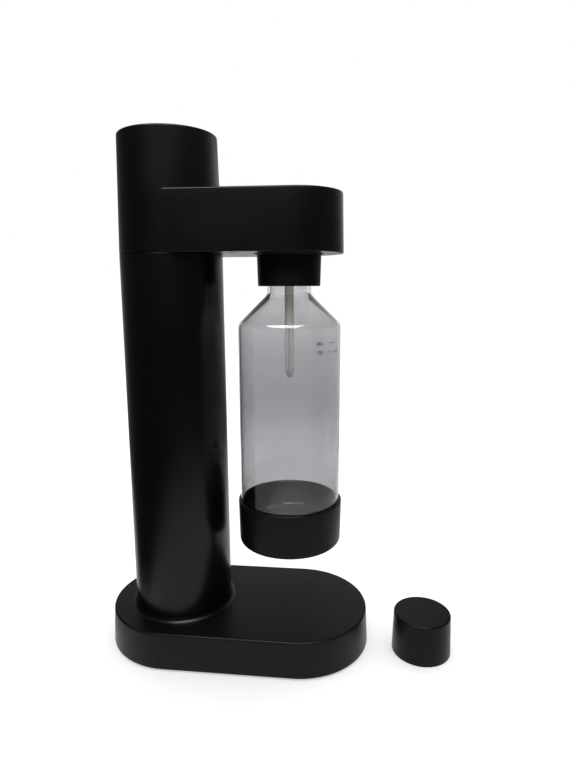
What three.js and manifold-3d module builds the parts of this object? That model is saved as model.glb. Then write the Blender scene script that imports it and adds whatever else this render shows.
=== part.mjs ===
// A countertop machine that makes sparkling water: a pill-shaped base, a round tower round a gas
// cylinder, a head whose top is the push button, and an arm that holds a screw-in bottle over the
// base. Its loose bottle cap stands beside it. Millimetres, +Z up. The origin is on the tower's
// axis at table height, +X runs along the arm and +Y points to the back.

import * as THREE from 'three';
import { mergeVertices } from 'three/addons/utils/BufferGeometryUtils.js';
import Module from 'manifold-3d';

const wasm = await Module();
wasm.setup();

// Gas cylinder: the tower is built round it
const cylinderRadius = 30;
const cylinderWall = 2.6;
const cylinderNeckRadius = 13;
const cylinderNeckHeight = 9;
const cylinderShoulderHeight = 22;
const cylinderFootRise = 4;
const cylinderDish = 4;
const valveThreadRadius = 10.3;
const valveThreadHeight = 12;
const valveFlangeRadius = 13;
const valveFlangeHeight = 8;
const valveStemRadius = 9.2;
const valveStemLength = 18;
const valvePinRadius = 1.4;
const valvePinHeadRadius = 4.4;
const valvePinHeadHeight = 3;
const valvePinTail = 5;
const valveChamberRadius = 5.2;
const valveSeatDepth = 18;
const valveLedge = 2;
const valvePinRecess = 0.5;

// Tower and head
const cylinderToTower = 10.9;
const towerWall = 2.3;
const towerTaper = 0.6;
const footFillet = 4;
const seamHeight = 326.4;
const seamGap = 0.4;
const crownHeight = 43.5;
const headTaper = 2.3;
const headWall = 2.5;
const headEdge = 1.2;
const headLipDepth = 6;
const headLipRise = 3;
const headLipWall = 1.5;
const innerRingHeight = 8;
const innerRingInset = 0.3;

// Arm
const armHeight = 45.1;
const armEndOffset = 4.6;
const armEndMargin = 0.7;
const armDraft = 1;
const armBlend = 0.4;
const armCoverThickness = 3.2;
const towerToCup = 10.3;

// Base
const baseLength = 222.5;
const baseTail = 61.6;
const baseEndRadius = 59.2;
const baseDraft = 1.5;
const baseHeight = 31.1;
const baseWall = 2.6;
const deckThickness = 3;
const baseEdge = 1.4;
const baseFootEdge = 0.8;
const plateThickness = 3.2;
const footProud = 1.2;
const footRecess = 0.8;
const footRadius = 8;
const wellWall = 1.8;

// Hatch under the cylinder
const hatchMargin = 2.6;
const hatchGap = 0.5;
const hatchFootRadius = 12;
const hatchTabWidth = 14;
const hatchTabReach = 3;
const hatchTabRoot = 6;
const hatchTabHeight = 2;
const hatchTwistDegrees = 40;
const hatchPadRadius = 26;
const hatchPadThickness = 3;
const gripWidth = 8;
const gripLength = 18;
const gripDepth = 1.2;

// Sleeve that guides the cylinder and carries the valve block
const sleeveClearance = 1.2;
const sleeveWall = 2;
const sleeveFlange = 3;
const sleevePlate = 4;
const sleeveAboveArm = 22;
const sleeveHoleMargin = 1.5;
const sleeveScrewMargin = 0.35;

// Valve block, lever and button
const blockFlangeMargin = 1.5;
const blockFlangeHeight = 4;
const blockFlangeReach = 4.5;
const blockHeight = 28;
const springSeatRadius = 26.2;
const springSeatHeight = 4;
const gasketThickness = 1.5;
const gasketBore = 4;
const actuatorRadius = 2;
const actuatorHeadRadius = 3;
const actuatorDome = 1.4;
const portRadius = 1.2;
const leverPivotReach = 16;
const leverPushReach = 16;
const leverRise = 9;
const leverRootRadius = 3.6;
const leverTipRadius = 2.6;
const leverWidth = 10;
const leverPinRadius = 2;
const leverEarThickness = 3.2;
const leverEarLength = 6;
const leverEarCrown = 4;
const buttonRim = 5;
const buttonTop = 3;
const buttonDish = 1.1;
const buttonDishInset = 5;
const buttonSkirtDepth = 13;
const buttonSkirtWall = 2;
const buttonLip = 1.9;
const buttonLipHeight = 2;
const buttonTravel = 5;
const buttonEdge = 0.6;
const studRadius = 3.2;
const springRadius = 23.6;
const springWireRadius = 0.9;
const springCurls = 6;
const pinSpringRadius = 3.2;
const pinSpringWireRadius = 0.4;
const pinSpringCurls = 5;

// Gas hose and its barbs
const hoseRadius = 3.6;
const hoseBore = 2.5;
const hoseStraight = 8;
const hoseBend = 22;
const barbRadius = 2.1;
const barbLength = 7;
const barbBore = 0.9;
const barbCollarRadius = 4.8;
const barbCollarLength = 5;
const barbThreadRadius = 2.6;
const barbThreadLength = 5;

// Carbonating head and collar
const threadClearance = 0.6;
const collarWall = 5.9;
const collarHeight = 24.8;
const collarTaper = 0.6;
const collarEdge = 0.9;
const collarRecess = 2.4;
const collarFlangeReach = 3.3;
const collarFlangeHeight = 3.5;
const collarEarInset = 3;
const collarEarRadius = 4.2;
const gasHeadRadius = 17;
const reliefHeadroom = 2.9;
const spigotDepth = 9;
const sealThickness = 2.3;
const sealBore = 8.5;
const nozzleRadius = 3.6;
const nozzleBore = 1.8;
const nozzleLength = 72;
const nozzleSocket = 18;
const nozzleTipLength = 42.8;
const nozzleTipTaper = 5;
const nozzleTipEnd = 2;
const nozzleTipShank = 4;
const nozzleTipShankRadius = 1.5;
const nozzleJet = 0.6;
const reliefOffset = 8;
const reliefStemRadius = 3.6;
const reliefStemLength = 6;
const reliefHeadRadius = 5.2;
const reliefHeadHeight = 5;
const reliefCapRadius = 2.4;
const reliefCapHeight = 2;

// Bottle and its cup
const bottleRadius = 40.7;
const bottleLength = 228;
const bottleWall = 1.2;
const bottleStep = 0.6;
const neckRadius = 17.2;
const neckBead = 1.4;
const neckBeadHeight = 1.6;
const neckBeadPitch = 5;
const neckBeadCount = 2;
const neckBeadDrop = 6;
const neckVisible = 6.1;
const shoulderHeight = 23.4;
const shoulderEdge = 2.9;
const neckFillet = 3.7;
const bottleDomeRise = 11;
const bottleHeelInset = 5;
const bottleStandWidth = 6;
const bottleHeel = 7;
const cupHeight = 36.3;
const cupStandout = 2.2;
const cupDraft = 0.8;
const cupHeel = 4;
const cupFloor = 2.7;
const cupFootRecess = 2.3;
const cupFootRing = 4;
const cupLip = 0.8;

// Loose cap
const baseToCap = 20.7;
const capY = -9.3;
const capRadius = 24.1;
const capTaper = 1;
const capHeight = 34;
const capEdge = 1.4;
const capCrown = 4;
const linerThickness = 2;

// Screws
const screwHeadRadius = 2.3;
const screwHeadHeight = 1.8;
const screwShaftRadius = 1.2;
const screwHoleRadius = 1.45;
const screwBite = 7;
const screwDimple = 1;
const bossRadius = 4;
const bossInset = 6.6;
const headBossRadius = 4.2;
const headBossHeight = 12;
const headBossInset = 6;
const headRibThickness = 3;
const coverBossInset = 13.1;
const coverBossSpread = 24;
const coverBossRadius = 3.5;
const coverEndDegrees = 15;

// Clearances
const restGap = 0.2;
const slipGap = 0.3;
const pressGap = 0.3;
const overrun = 2;
const mergeTolerance = 0.0001;

// Places worked out as angles and as shares of a size
const baseBossAngles = [142, 218, -50, 50];
const baseFootAngles = [112, 248, -26, 26];
const baseBossLeftEnd = [true, true, false, false];
const sleeveScrewAngles = [90, 210, 330];
const headBossAngles = [135, 225];
const cylinderShoulderShares = [[1, 0], [0.96, 0.3], [0.84, 0.58], [0.66, 0.8]];
const bottleDomeShares = [[0, 1], [0.45, 0.9], [0.8, 0.5]];
const cylinderDishShares = [[0, 1], [0.5, 0.8]];
const cylinderRestShare = 0.8;
const domeReachShare = 0.5;
const domeRiseShare = 0.33;
const quarterTurn = 90;

// Fineness of round surfaces
const wideSides = 28;
const middleSides = 20;
const smallSides = 10;
const screwSides = 8;
const pillSteps = 14;
const edgeSteps = 2;
const hoseSides = 8;
const hoseSteps = 14;
const curlSteps = 8;
const wireSides = 5;
const nutSides = 6;

// Heights and radii that follow from the sizes above
const towerFootRadius = cylinderRadius + cylinderToTower;
const towerTopRadius = towerFootRadius - towerTaper;
const tubeBore = towerTopRadius - towerWall;
const plateTop = footProud + plateThickness;
const deckBottom = baseHeight - deckThickness;
const baseLeftX = baseEndRadius - baseTail;
const baseRightX = baseLength - baseTail - baseEndRadius;
const wellRadius = cylinderRadius + sleeveClearance;
const hatchRadius = cylinderRadius + hatchMargin;
const cylinderBottom = plateTop + hatchPadThickness + restGap;
const armUnderside = seamHeight;
const armTop = armUnderside + armHeight;
const cupTopRadius = bottleRadius + cupStandout;
const bottleReach = towerFootRadius + towerToCup + cupTopRadius;
const collarBore = neckRadius + neckBead + threadClearance;
const collarTopRadius = collarBore + collarWall;
const collarHoleRadius = collarTopRadius + collarRecess;
const collarFlangeRadius = collarTopRadius + collarFlangeReach;
const collarEarReach = collarHoleRadius + collarEarInset;
const armEndRadius = collarEarReach + collarEarRadius + headWall + armEndMargin;
const armEndX = bottleReach + armEndOffset;
const armCeiling = armTop - headWall;
const coverTop = armUnderside + armCoverThickness;
const overallHeight = armTop + crownHeight;
const buttonRadius = towerTopRadius - headTaper - buttonRim;
const sleeveTop = armUnderside + sleeveAboveArm;
const sleeveOuter = wellRadius + sleeveWall;
const headBossReach = sleeveOuter - headBossInset;
const blockFlangeRadius = headBossReach - headBossRadius - blockFlangeMargin;
const blockBodyRadius = blockFlangeRadius - blockFlangeReach;
const blockBottom = sleeveTop + restGap;
const blockTop = blockBottom + blockHeight;
const socketRadius = valveThreadRadius + slipGap;
const socketTop = blockBottom + valveThreadHeight + gasketThickness;
const gasketBottom = socketTop - restGap - gasketThickness;
const valveTop = gasketBottom - restGap;
const valveFlangeTop = valveTop - valveThreadHeight;
const valveFlangeBottom = valveFlangeTop - valveFlangeHeight;
const cylinderNeckTop = valveFlangeBottom - restGap;
const cylinderShoulderTop = cylinderNeckTop - cylinderNeckHeight;
const cylinderShoulderStart = cylinderShoulderTop - cylinderShoulderHeight;
const valveBottom = valveFlangeBottom - valveStemLength;
const valveSeat = valveTop - valveSeatDepth;
const pinHeadTop = valveSeat - pressGap;
const pinHeadBottom = pinHeadTop - valvePinHeadHeight;
const leverAxis = blockTop + leverRise;
const leverUnderAtPin = leverAxis - leverWaistAt(leverPivotReach);
const leverOverAtStud = leverAxis + leverTipRadius;
const portHeight = socketTop + portRadius + barbThreadRadius;
const blockPortFace = blockBodyRadius + restGap;
const rimUnderside = overallHeight - buttonTop;
const buttonUnderside = overallHeight - buttonTop;
const collarFlangeBottom = coverTop + restGap + screwHeadHeight + restGap;
const collarFlangeTop = collarFlangeBottom + collarFlangeHeight;
const collarBottom = armUnderside - collarHeight;
const gasHeadFlangeBottom = collarFlangeTop + restGap;
const gasHeadFlangeTop = gasHeadFlangeBottom + collarFlangeHeight;
const gasHeadTop = armCeiling - reliefHeadroom - reliefHeadHeight - reliefCapHeight - restGap;
const gasPortHeight = (gasHeadFlangeTop + gasHeadTop) / 2;
const spigotBottom = gasHeadFlangeBottom - spigotDepth;
const sealBottom = spigotBottom - restGap - sealThickness;
const neckTop = sealBottom - restGap;
const nozzleTop = spigotBottom + nozzleSocket;
const nozzleBottom = nozzleTop - nozzleLength;
const shoulderTop = collarBottom - neckVisible;
const shoulderBottom = shoulderTop - shoulderHeight;
const bottleBottom = neckTop - bottleLength;
const cupFloorTop = bottleBottom - restGap;
const cupUnderside = cupFloorTop - cupFloor - cupFootRecess;
const cupTop = cupUnderside + cupHeight;
const cupBore = bottleRadius - bottleStep + slipGap;
const bottleStandOuter = bottleRadius - bottleHeelInset;
const bottleStandInner = bottleStandOuter - bottleStandWidth;
const capX = baseLength - baseTail + baseToCap + capRadius;

const group = new THREE.Group();

// Half the height of the lever at a distance from its pivot
function leverWaistAt(distance) {
  const span = leverPivotReach + leverPushReach;
  return leverRootRadius + ((leverTipRadius - leverRootRadius) * distance) / span;
}

function baseRadiusAt(height) {
  return baseEndRadius - (baseDraft * (height - footProud)) / (baseHeight - footProud);
}

function headRadiusAt(height) {
  return towerTopRadius - (headTaper * (height - seamHeight)) / (overallHeight - seamHeight);
}

function armEndRadiusAt(height) {
  return armEndRadius - (armDraft * (height - armUnderside)) / armHeight;
}

// Turns a closed three.js geometry into a solid with its faces pointing out.
function solidOf(geometry) {
  const bare = new THREE.BufferGeometry();
  bare.setAttribute('position', geometry.getAttribute('position'));
  bare.setIndex(geometry.getIndex());
  const merged = mergeVertices(bare, mergeTolerance);
  const place = merged.getAttribute('position').array;
  const source = merged.getIndex().array;
  const corners = [];
  let volume = 0;
  for (let at = 0; at < source.length; at += 3) {
    const [a, b, c] = [source[at], source[at + 1], source[at + 2]];
    if (a === b || b === c || c === a) {
      continue;
    }
    corners.push(a, b, c);
    const first = new THREE.Vector3().fromArray(place, 3 * a);
    const second = new THREE.Vector3().fromArray(place, 3 * b);
    const third = new THREE.Vector3().fromArray(place, 3 * c);
    volume += first.dot(second.cross(third));
  }
  if (volume < 0) {
    for (let at = 0; at < corners.length; at += 3) {
      [corners[at], corners[at + 1]] = [corners[at + 1], corners[at]];
    }
  }
  const vertProperties = new Float32Array(place);
  const triVerts = new Uint32Array(corners);
  return new wasm.Manifold(new wasm.Mesh({ numProp: 3, vertProperties, triVerts }));
}

// Adds a solid to the model as a named mesh.
function addPiece(parent, name, solid, material) {
  const { vertProperties, triVerts } = solid.getMesh();
  const geometry = new THREE.BufferGeometry();
  geometry.setAttribute('position', new THREE.BufferAttribute(new Float32Array(vertProperties), 3));
  geometry.setIndex(new THREE.BufferAttribute(new Uint32Array(triVerts), 1));
  geometry.computeVertexNormals();
  const mesh = new THREE.Mesh(geometry, material);
  mesh.name = name;
  parent.add(mesh);
}

// A body of revolution about Z from [radius, height] pairs, closed from the last to the first.
function turned(profile, sides) {
  const points = profile.map(([radius, height]) => new THREE.Vector2(radius, height));
  points.push(points[0].clone());
  return solidOf(new THREE.LatheGeometry(points, sides).rotateX(Math.PI / 2));
}

function disc(radius, bottom, top, sides) {
  return turned([[0, bottom], [radius, bottom], [radius, top], [0, top]], sides);
}

function ring(innerRadius, outerRadius, bottom, top, sides) {
  const profile = [[innerRadius, bottom], [outerRadius, bottom], [outerRadius, top], [innerRadius, top]];
  return turned(profile, sides);
}

function block(width, depth, bottom, top, x, y) {
  const geometry = new THREE.BoxGeometry(width, depth, top - bottom);
  return solidOf(geometry.translate(x, y, (bottom + top) / 2));
}

// The outline round two circles on the X axis, joined by their outer tangents.
function pillPoints(leftX, leftRadius, rightX, rightRadius) {
  const lean = Math.acos((leftRadius - rightRadius) / (rightX - leftX));
  const points = [];
  for (let step = 0; step <= pillSteps; step += 1) {
    const angle = -lean + (2 * lean * step) / pillSteps;
    points.push([rightX + rightRadius * Math.cos(angle), rightRadius * Math.sin(angle)]);
  }
  for (let step = 0; step <= pillSteps; step += 1) {
    const angle = lean + (2 * (Math.PI - lean) * step) / pillSteps;
    points.push([leftX + leftRadius * Math.cos(angle), leftRadius * Math.sin(angle)]);
  }
  return points;
}

// A closed body through convex outlines of equally many points, listed from the bottom up.
function lofted(levels) {
  const count = levels[0].outline.length;
  const last = (levels.length - 1) * count;
  const positions = [];
  const corners = [];
  for (const level of levels) {
    for (const [x, y] of level.outline) {
      positions.push(x, y, level.height);
    }
  }
  for (let start = 0; start < last; start += count) {
    for (let step = 0; step < count; step += 1) {
      const next = (step + 1) % count;
      const [a, b] = [start + step, start + next];
      corners.push(a, b, b + count, a, b + count, a + count);
    }
  }
  for (let step = 1; step < count - 1; step += 1) {
    corners.push(0, step + 1, step, last, last + step, last + step + 1);
  }
  const geometry = new THREE.BufferGeometry();
  geometry.setAttribute('position', new THREE.Float32BufferAttribute(positions, 3));
  geometry.setIndex(corners);
  return solidOf(geometry);
}

// Heights and insets of a rounded upper edge, from where it starts to the top face.
function edgeRings(top, radius) {
  const rings = [];
  for (let step = 0; step <= edgeSteps; step += 1) {
    const angle = (Math.PI / 2) * (step / edgeSteps);
    rings.push([top - radius + radius * Math.sin(angle), radius - radius * Math.cos(angle)]);
  }
  return rings;
}

function onCircle(radius, degrees) {
  const angle = THREE.MathUtils.degToRad(degrees);
  return [radius * Math.cos(angle), radius * Math.sin(angle)];
}

function joinAll(solids) {
  return solids.reduce((sum, solid) => sum.add(solid));
}

function cutAll(body, tools) {
  return tools.reduce((rest, tool) => rest.subtract(tool), body);
}

// A round tool or peg standing at a place.
function peg(place, radius, bottom, top, sides) {
  return disc(radius, bottom, top, sides).translate([place[0], place[1], 0]);
}

// A screw driven upwards: its head's underside is at the given height and its shaft points up.
function screw(headHeight, length) {
  const shaftStart = headHeight + screwHeadHeight;
  const profile = [
    [0, headHeight + screwDimple],
    [screwDimple, headHeight],
    [screwHeadRadius, headHeight],
    [screwHeadRadius, shaftStart],
    [screwShaftRadius, shaftStart],
    [screwShaftRadius, shaftStart + length],
    [0, shaftStart + length],
  ];
  return turned(profile, screwSides);
}

function addScrew(parent, name, place, headHeight, length) {
  addPiece(parent, name, screw(headHeight, length).translate([place[0], place[1], 0]), screwSteel);
}

// Room for a screw: a shaft hole up to a height, and a seat for the head from below.
function screwRoom(place, seatBottom, seatTop, holeTop) {
  const hole = peg(place, screwHoleRadius, seatBottom, holeTop, screwSides);
  return hole.add(peg(place, screwHeadRadius + slipGap, seatBottom, seatTop, screwSides));
}

// A wire wound as a helix about Z, as one unbroken tube with flat ends.
function coil(radius, wireRadius, curls, bottom, top) {
  const low = bottom + wireRadius;
  const high = top - wireRadius;
  const steps = curls * curlSteps;
  const positions = [];
  const corners = [];
  for (let step = 0; step <= steps; step += 1) {
    const turn = (2 * Math.PI * step) / curlSteps;
    const middle = low + ((high - low) * step) / steps;
    for (let side = 0; side < wireSides; side += 1) {
      const around = (2 * Math.PI * side) / wireSides;
      const reach = radius + wireRadius * Math.cos(around);
      const lift = wireRadius * Math.sin(around);
      positions.push(reach * Math.cos(turn), reach * Math.sin(turn), middle + lift);
    }
  }
  for (let step = 0; step < steps; step += 1) {
    for (let side = 0; side < wireSides; side += 1) {
      const next = (side + 1) % wireSides;
      const [a, b] = [step * wireSides + side, step * wireSides + next];
      corners.push(a, b, b + wireSides, a, b + wireSides, a + wireSides);
    }
  }
  const end = steps * wireSides;
  for (let side = 1; side < wireSides - 1; side += 1) {
    corners.push(0, side + 1, side, end, end + side, end + side + 1);
  }
  reportCoilGap(positions);
  const geometry = new THREE.BufferGeometry();
  geometry.setAttribute('position', new THREE.Float32BufferAttribute(positions, 3));
  geometry.setIndex(corners);
  return solidOf(geometry);
}

// Prints the least distance between points of a coil that lie at least half a turn apart.
function reportCoilGap(positions) {
  const ringLength = 3 * wireSides;
  const apart = (curlSteps / 2) * ringLength;
  let least = Infinity;
  for (let from = 0; from < positions.length; from += 3) {
    const ringStart = from - (from % ringLength);
    for (let to = ringStart + apart; to < positions.length; to += 3) {
      const across = positions[from] - positions[to];
      const along = positions[from + 1] - positions[to + 1];
      const up = positions[from + 2] - positions[to + 2];
      least = Math.min(least, Math.hypot(across, along, up));
    }
  }
  console.log(`coil self-gap ${least.toFixed(2)} mm`);
}

const satinBlack = new THREE.MeshStandardMaterial({ color: 0x1b1b1d, roughness: 0.38, metalness: 0 });
const baseBlack = new THREE.MeshStandardMaterial({ color: 0x232325, roughness: 0.42, metalness: 0 });
const collarBlack = new THREE.MeshStandardMaterial({ color: 0x0c0b0e, roughness: 0.6, metalness: 0 });
const capBlack = new THREE.MeshStandardMaterial({ color: 0x1f1e21, roughness: 0.45, metalness: 0 });
const innerBlack = new THREE.MeshStandardMaterial({ color: 0x161617, roughness: 0.6, metalness: 0 });
const clearPlastic = new THREE.MeshStandardMaterial({ color: 0xc9cacd, roughness: 0.08, metalness: 0 });
const tubeGrey = new THREE.MeshStandardMaterial({ color: 0x777872, roughness: 0.5, metalness: 0 });
const tipPale = new THREE.MeshStandardMaterial({ color: 0xb4b5b0, roughness: 0.35, metalness: 0 });
const cylinderGrey = new THREE.MeshStandardMaterial({ color: 0x8f9396, roughness: 0.35, metalness: 1 });
const brass = new THREE.MeshStandardMaterial({ color: 0xb59a55, roughness: 0.3, metalness: 1 });
const blockZinc = new THREE.MeshStandardMaterial({ color: 0x9a9c9e, roughness: 0.4, metalness: 1 });
const screwSteel = new THREE.MeshStandardMaterial({ color: 0x85878a, roughness: 0.3, metalness: 1 });
const springSteel = new THREE.MeshStandardMaterial({ color: 0xa0a2a5, roughness: 0.25, metalness: 1 });
const footRubber = new THREE.MeshStandardMaterial({ color: 0x2a2a2a, roughness: 0.9, metalness: 0 });
const sealRubber = new THREE.MeshStandardMaterial({ color: 0x3a3a3c, roughness: 0.8, metalness: 0 });
const hoseWhite = new THREE.MeshStandardMaterial({ color: 0xd8d8d2, roughness: 0.45, metalness: 0 });
const padFoam = new THREE.MeshStandardMaterial({ color: 0x4a4a4a, roughness: 1, metalness: 0 });

function basePlaces(reach, angles) {
  return angles.map((degrees, index) => {
    const [x, y] = onCircle(reach, degrees);
    return [x + (baseBossLeftEnd[index] ? baseLeftX : baseRightX), y];
  });
}

function baseOutline(height, inset) {
  const radius = baseRadiusAt(height) - inset;
  return { height, outline: pillPoints(baseLeftX, radius, baseRightX, radius) };
}

const bossPlaces = basePlaces(baseEndRadius - baseWall - bossRadius - bossInset, baseBossAngles);
const footPlaces = basePlaces(baseEndRadius - baseWall - footRadius - bossInset / 2, baseFootAngles);
const sleeveScrewReach = wellRadius + wellWall + screwHeadRadius + sleeveScrewMargin;
const sleeveScrewPlaces = sleeveScrewAngles.map((degrees) => onCircle(sleeveScrewReach, degrees));

// The moulded base: a drafted pill with a deck, a well round the cylinder and four screw posts.
function makeBaseShell() {
  const levels = [baseOutline(footProud, baseFootEdge), baseOutline(footProud + baseFootEdge, 0)];
  for (const [height, inset] of edgeRings(baseHeight, baseEdge)) {
    levels.push(baseOutline(height, inset));
  }
  const hollow = lofted([baseOutline(footProud - overrun, baseWall), baseOutline(deckBottom, baseWall)]);
  const wellBottom = plateTop + hatchTabHeight + 2 * slipGap;
  const well = disc(wellRadius + wellWall, wellBottom, deckBottom + restGap, wideSides);
  const posts = bossPlaces.map((place) => peg(place, bossRadius, plateTop, deckBottom + restGap,
    smallSides));
  const bore = disc(wellRadius, wellBottom - overrun, baseHeight + overrun, wideSides);
  const holes = bossPlaces.map((place) => peg(place, screwHoleRadius, plateTop - overrun,
    plateTop + screwBite + overrun, screwSides));
  const sleeveHoles = sleeveScrewPlaces.map((place) => peg(place, screwHoleRadius, deckBottom - overrun,
    baseHeight + overrun, screwSides));
  const body = joinAll([lofted(levels).subtract(hollow), well, ...posts]);
  addPiece(group, 'base_shell', cutAll(body, [bore, ...holes, ...sleeveHoles]), baseBlack);
}

// The bottom plate, with an opening for the hatch and its two tabs.
function makeBasePlate() {
  const radius = baseRadiusAt(plateTop) - baseWall - slipGap;
  const outline = pillPoints(baseLeftX, radius, baseRightX, radius);
  const plate = lofted([{ height: footProud, outline }, { height: plateTop, outline }]);
  const opening = disc(hatchRadius + hatchGap, footProud - overrun, plateTop + overrun, wideSides);
  const notchLength = 2 * (hatchRadius + hatchTabReach + hatchGap);
  const notchWidth = hatchTabWidth + 2 * hatchGap;
  const notch = block(notchLength, notchWidth, footProud - overrun, plateTop + overrun, 0, 0)
    .rotate([0, 0, hatchTwistDegrees]);
  const seats = bossPlaces.map((place) => screwRoom(place, footProud - overrun,
    footProud + screwHeadHeight + restGap, plateTop + overrun));
  const pockets = footPlaces.map((place) => peg(place, footRadius + slipGap, footProud - overrun,
    footProud + footRecess, smallSides));
  addPiece(group, 'base_plate', cutAll(plate, [opening, notch, ...seats, ...pockets]), innerBlack);
  bossPlaces.forEach((place, index) => {
    const length = plateThickness - screwHeadHeight + screwBite;
    addScrew(group, `base_screw_${index + 1}`, place, footProud, length);
  });
  footPlaces.forEach((place, index) => {
    const foot = peg(place, footRadius, 0, footProud + footRecess, smallSides);
    addPiece(group, `rubber_foot_${index + 1}`, foot, footRubber);
  });
}

// The twist-off hatch under the cylinder, with two tabs over the bottom plate, a foot and a pad.
function makeHatch() {
  const tabLow = plateTop + slipGap;
  const tabHigh = tabLow + hatchTabHeight;
  const cover = disc(hatchRadius, footProud, plateTop, wideSides);
  const tabSpan = 2 * (hatchRadius + hatchTabReach);
  const tabs = block(tabSpan, hatchTabWidth, tabLow, tabHigh, 0, 0);
  const rootDisc = disc(hatchRadius, plateTop - restGap, tabLow + restGap, wideSides);
  const roots = block(tabSpan, hatchTabWidth, plateTop - restGap, tabLow + restGap, 0, 0)
    .intersect(rootDisc);
  const middle = disc(hatchRadius - hatchTabRoot, plateTop, tabHigh + overrun, wideSides);
  const footPocket = disc(hatchFootRadius + slipGap, footProud - overrun, footProud + footRecess,
    middleSides);
  const gripReach = (hatchFootRadius + hatchRadius) / 2;
  const grips = [-1, 1].map((side) => block(gripLength, gripWidth, footProud - overrun,
    footProud + gripDepth, 0, side * gripReach));
  addPiece(group, 'cylinder_hatch', cutAll(joinAll([cover, tabs, roots]), [middle, footPocket, ...grips]),
    innerBlack);
  addPiece(group, 'hatch_foot', disc(hatchFootRadius, 0, footProud + footRecess, middleSides), footRubber);
  addPiece(group, 'hatch_pad', disc(hatchPadRadius, plateTop, plateTop + hatchPadThickness, middleSides),
    padFoam);
}

// The tower tube, whose foot flares out to the deck in a hollow curve.
function makeTowerTube() {
  const bottom = baseHeight;
  const top = seamHeight - seamGap;
  const profile = [[tubeBore, bottom], [towerFootRadius + footFillet, bottom]];
  for (let step = 1; step <= edgeSteps; step += 1) {
    const angle = (Math.PI / 2) * (step / edgeSteps);
    profile.push([
      towerFootRadius + footFillet - footFillet * Math.sin(angle),
      bottom + footFillet - footFillet * Math.cos(angle),
    ]);
  }
  profile.push([towerTopRadius, top], [tubeBore, top]);
  addPiece(group, 'tower_tube', turned(profile, wideSides), satinBlack);
}

// The inner sleeve: a flange on the deck, a guide round the cylinder and a plate for the valve block.
function makeSleeve() {
  const bottom = baseHeight;
  const flangeRadius = tubeBore - slipGap;
  const plateBottom = sleeveTop - sleevePlate;
  const hole = valveFlangeRadius + sleeveHoleMargin;
  const sleeve = turned([
    [wellRadius, bottom],
    [flangeRadius, bottom],
    [flangeRadius, bottom + sleeveFlange],
    [sleeveOuter, bottom + sleeveFlange],
    [sleeveOuter, sleeveTop],
    [hole, sleeveTop],
    [hole, plateBottom],
    [wellRadius, plateBottom],
  ], wideSides);
  const flangeHoles = sleeveScrewPlaces.map((place) => peg(place, screwHoleRadius, bottom - overrun,
    bottom + sleeveFlange + overrun, screwSides));
  const plateHoles = [...headBossPlaces, ...blockScrewPlaces].map((place) => peg(place, screwHoleRadius,
    plateBottom - overrun, sleeveTop + overrun, screwSides));
  addPiece(group, 'cylinder_sleeve', cutAll(sleeve, [...flangeHoles, ...plateHoles]), innerBlack);
  sleeveScrewPlaces.forEach((place, index) => {
    const headBottom = deckBottom - screwHeadHeight - restGap;
    addScrew(group, `sleeve_screw_${index + 1}`, place, headBottom, deckThickness + sleeveFlange);
  });
}

const headBossPlaces = headBossAngles.map((degrees) => onCircle(headBossReach, degrees));
const blockScrewReach = (socketRadius + blockFlangeRadius) / 2 + restGap;
const blockScrewPlaces = [-quarterTurn, quarterTurn].map((degrees) => onCircle(blockScrewReach, degrees));
const coverEndReach = collarFlangeRadius + slipGap + coverBossRadius;
const [coverEndX, coverEndY] = onCircle(coverEndReach, coverEndDegrees);
const coverScrewPlaces = [
  [towerFootRadius + coverBossInset, -coverBossSpread],
  [towerFootRadius + coverBossInset, coverBossSpread],
  [bottleReach + coverEndX, coverEndY],
];
const collarScrewPlaces = [[0, -collarEarReach], [0, collarEarReach]];

function armOutline(height, inset) {
  const leftRadius = headRadiusAt(height) - armBlend - inset;
  return { height, outline: pillPoints(0, leftRadius, armEndX, armEndRadiusAt(height) - inset) };
}

// The outside of the head as one solid: a drafted cylinder joined to the arm.
function headOutside() {
  const profile = [[0, seamHeight], [headRadiusAt(seamHeight), seamHeight]];
  for (const [height, inset] of edgeRings(overallHeight, headEdge)) {
    profile.push([headRadiusAt(height) - inset, height]);
  }
  profile.push([0, overallHeight]);
  const levels = [armOutline(armUnderside, 0)];
  for (const [height, inset] of edgeRings(armTop, headEdge)) {
    levels.push(armOutline(height, inset));
  }
  return turned(profile, wideSides).add(lofted(levels));
}

// Posts for the screws that hold the sleeve, the arm cover and the collar, with their ribs.
function headPosts() {
  const bottom = sleeveTop + restGap;
  const ribLength = headRadiusAt(bottom) - headWall / 2 - headBossReach;
  const posts = headBossPlaces.map((place) => peg(place, headBossRadius, bottom, bottom + headBossHeight,
    smallSides));
  const ribs = headBossAngles.map((degrees) => block(ribLength, headRibThickness, bottom,
    bottom + headBossHeight, headBossReach + ribLength / 2, 0).rotate([0, 0, degrees]));
  const coverPosts = coverScrewPlaces.map((place) => peg(place, coverBossRadius, coverTop + restGap,
    armCeiling + restGap, smallSides));
  const collarPosts = collarScrewPlaces.map(([x, y]) => peg([bottleReach + x, y], coverBossRadius,
    gasHeadFlangeTop + restGap, armCeiling + restGap, smallSides));
  return [...posts, ...ribs, ...coverPosts, ...collarPosts];
}

function headScrewHoles() {
  const bottom = sleeveTop;
  const bite = screwBite + overrun;
  const holes = headBossPlaces.map((place) => peg(place, screwHoleRadius, bottom - overrun, bottom + bite,
    screwSides));
  const coverHoles = coverScrewPlaces.map((place) => peg(place, screwHoleRadius, coverTop - overrun,
    coverTop + bite, screwSides));
  const collarHoles = collarScrewPlaces.map(([x, y]) => peg([bottleReach + x, y], screwHoleRadius,
    gasHeadFlangeTop - overrun, gasHeadFlangeTop + bite, screwSides));
  return [...holes, ...coverHoles, ...collarHoles];
}

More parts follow.
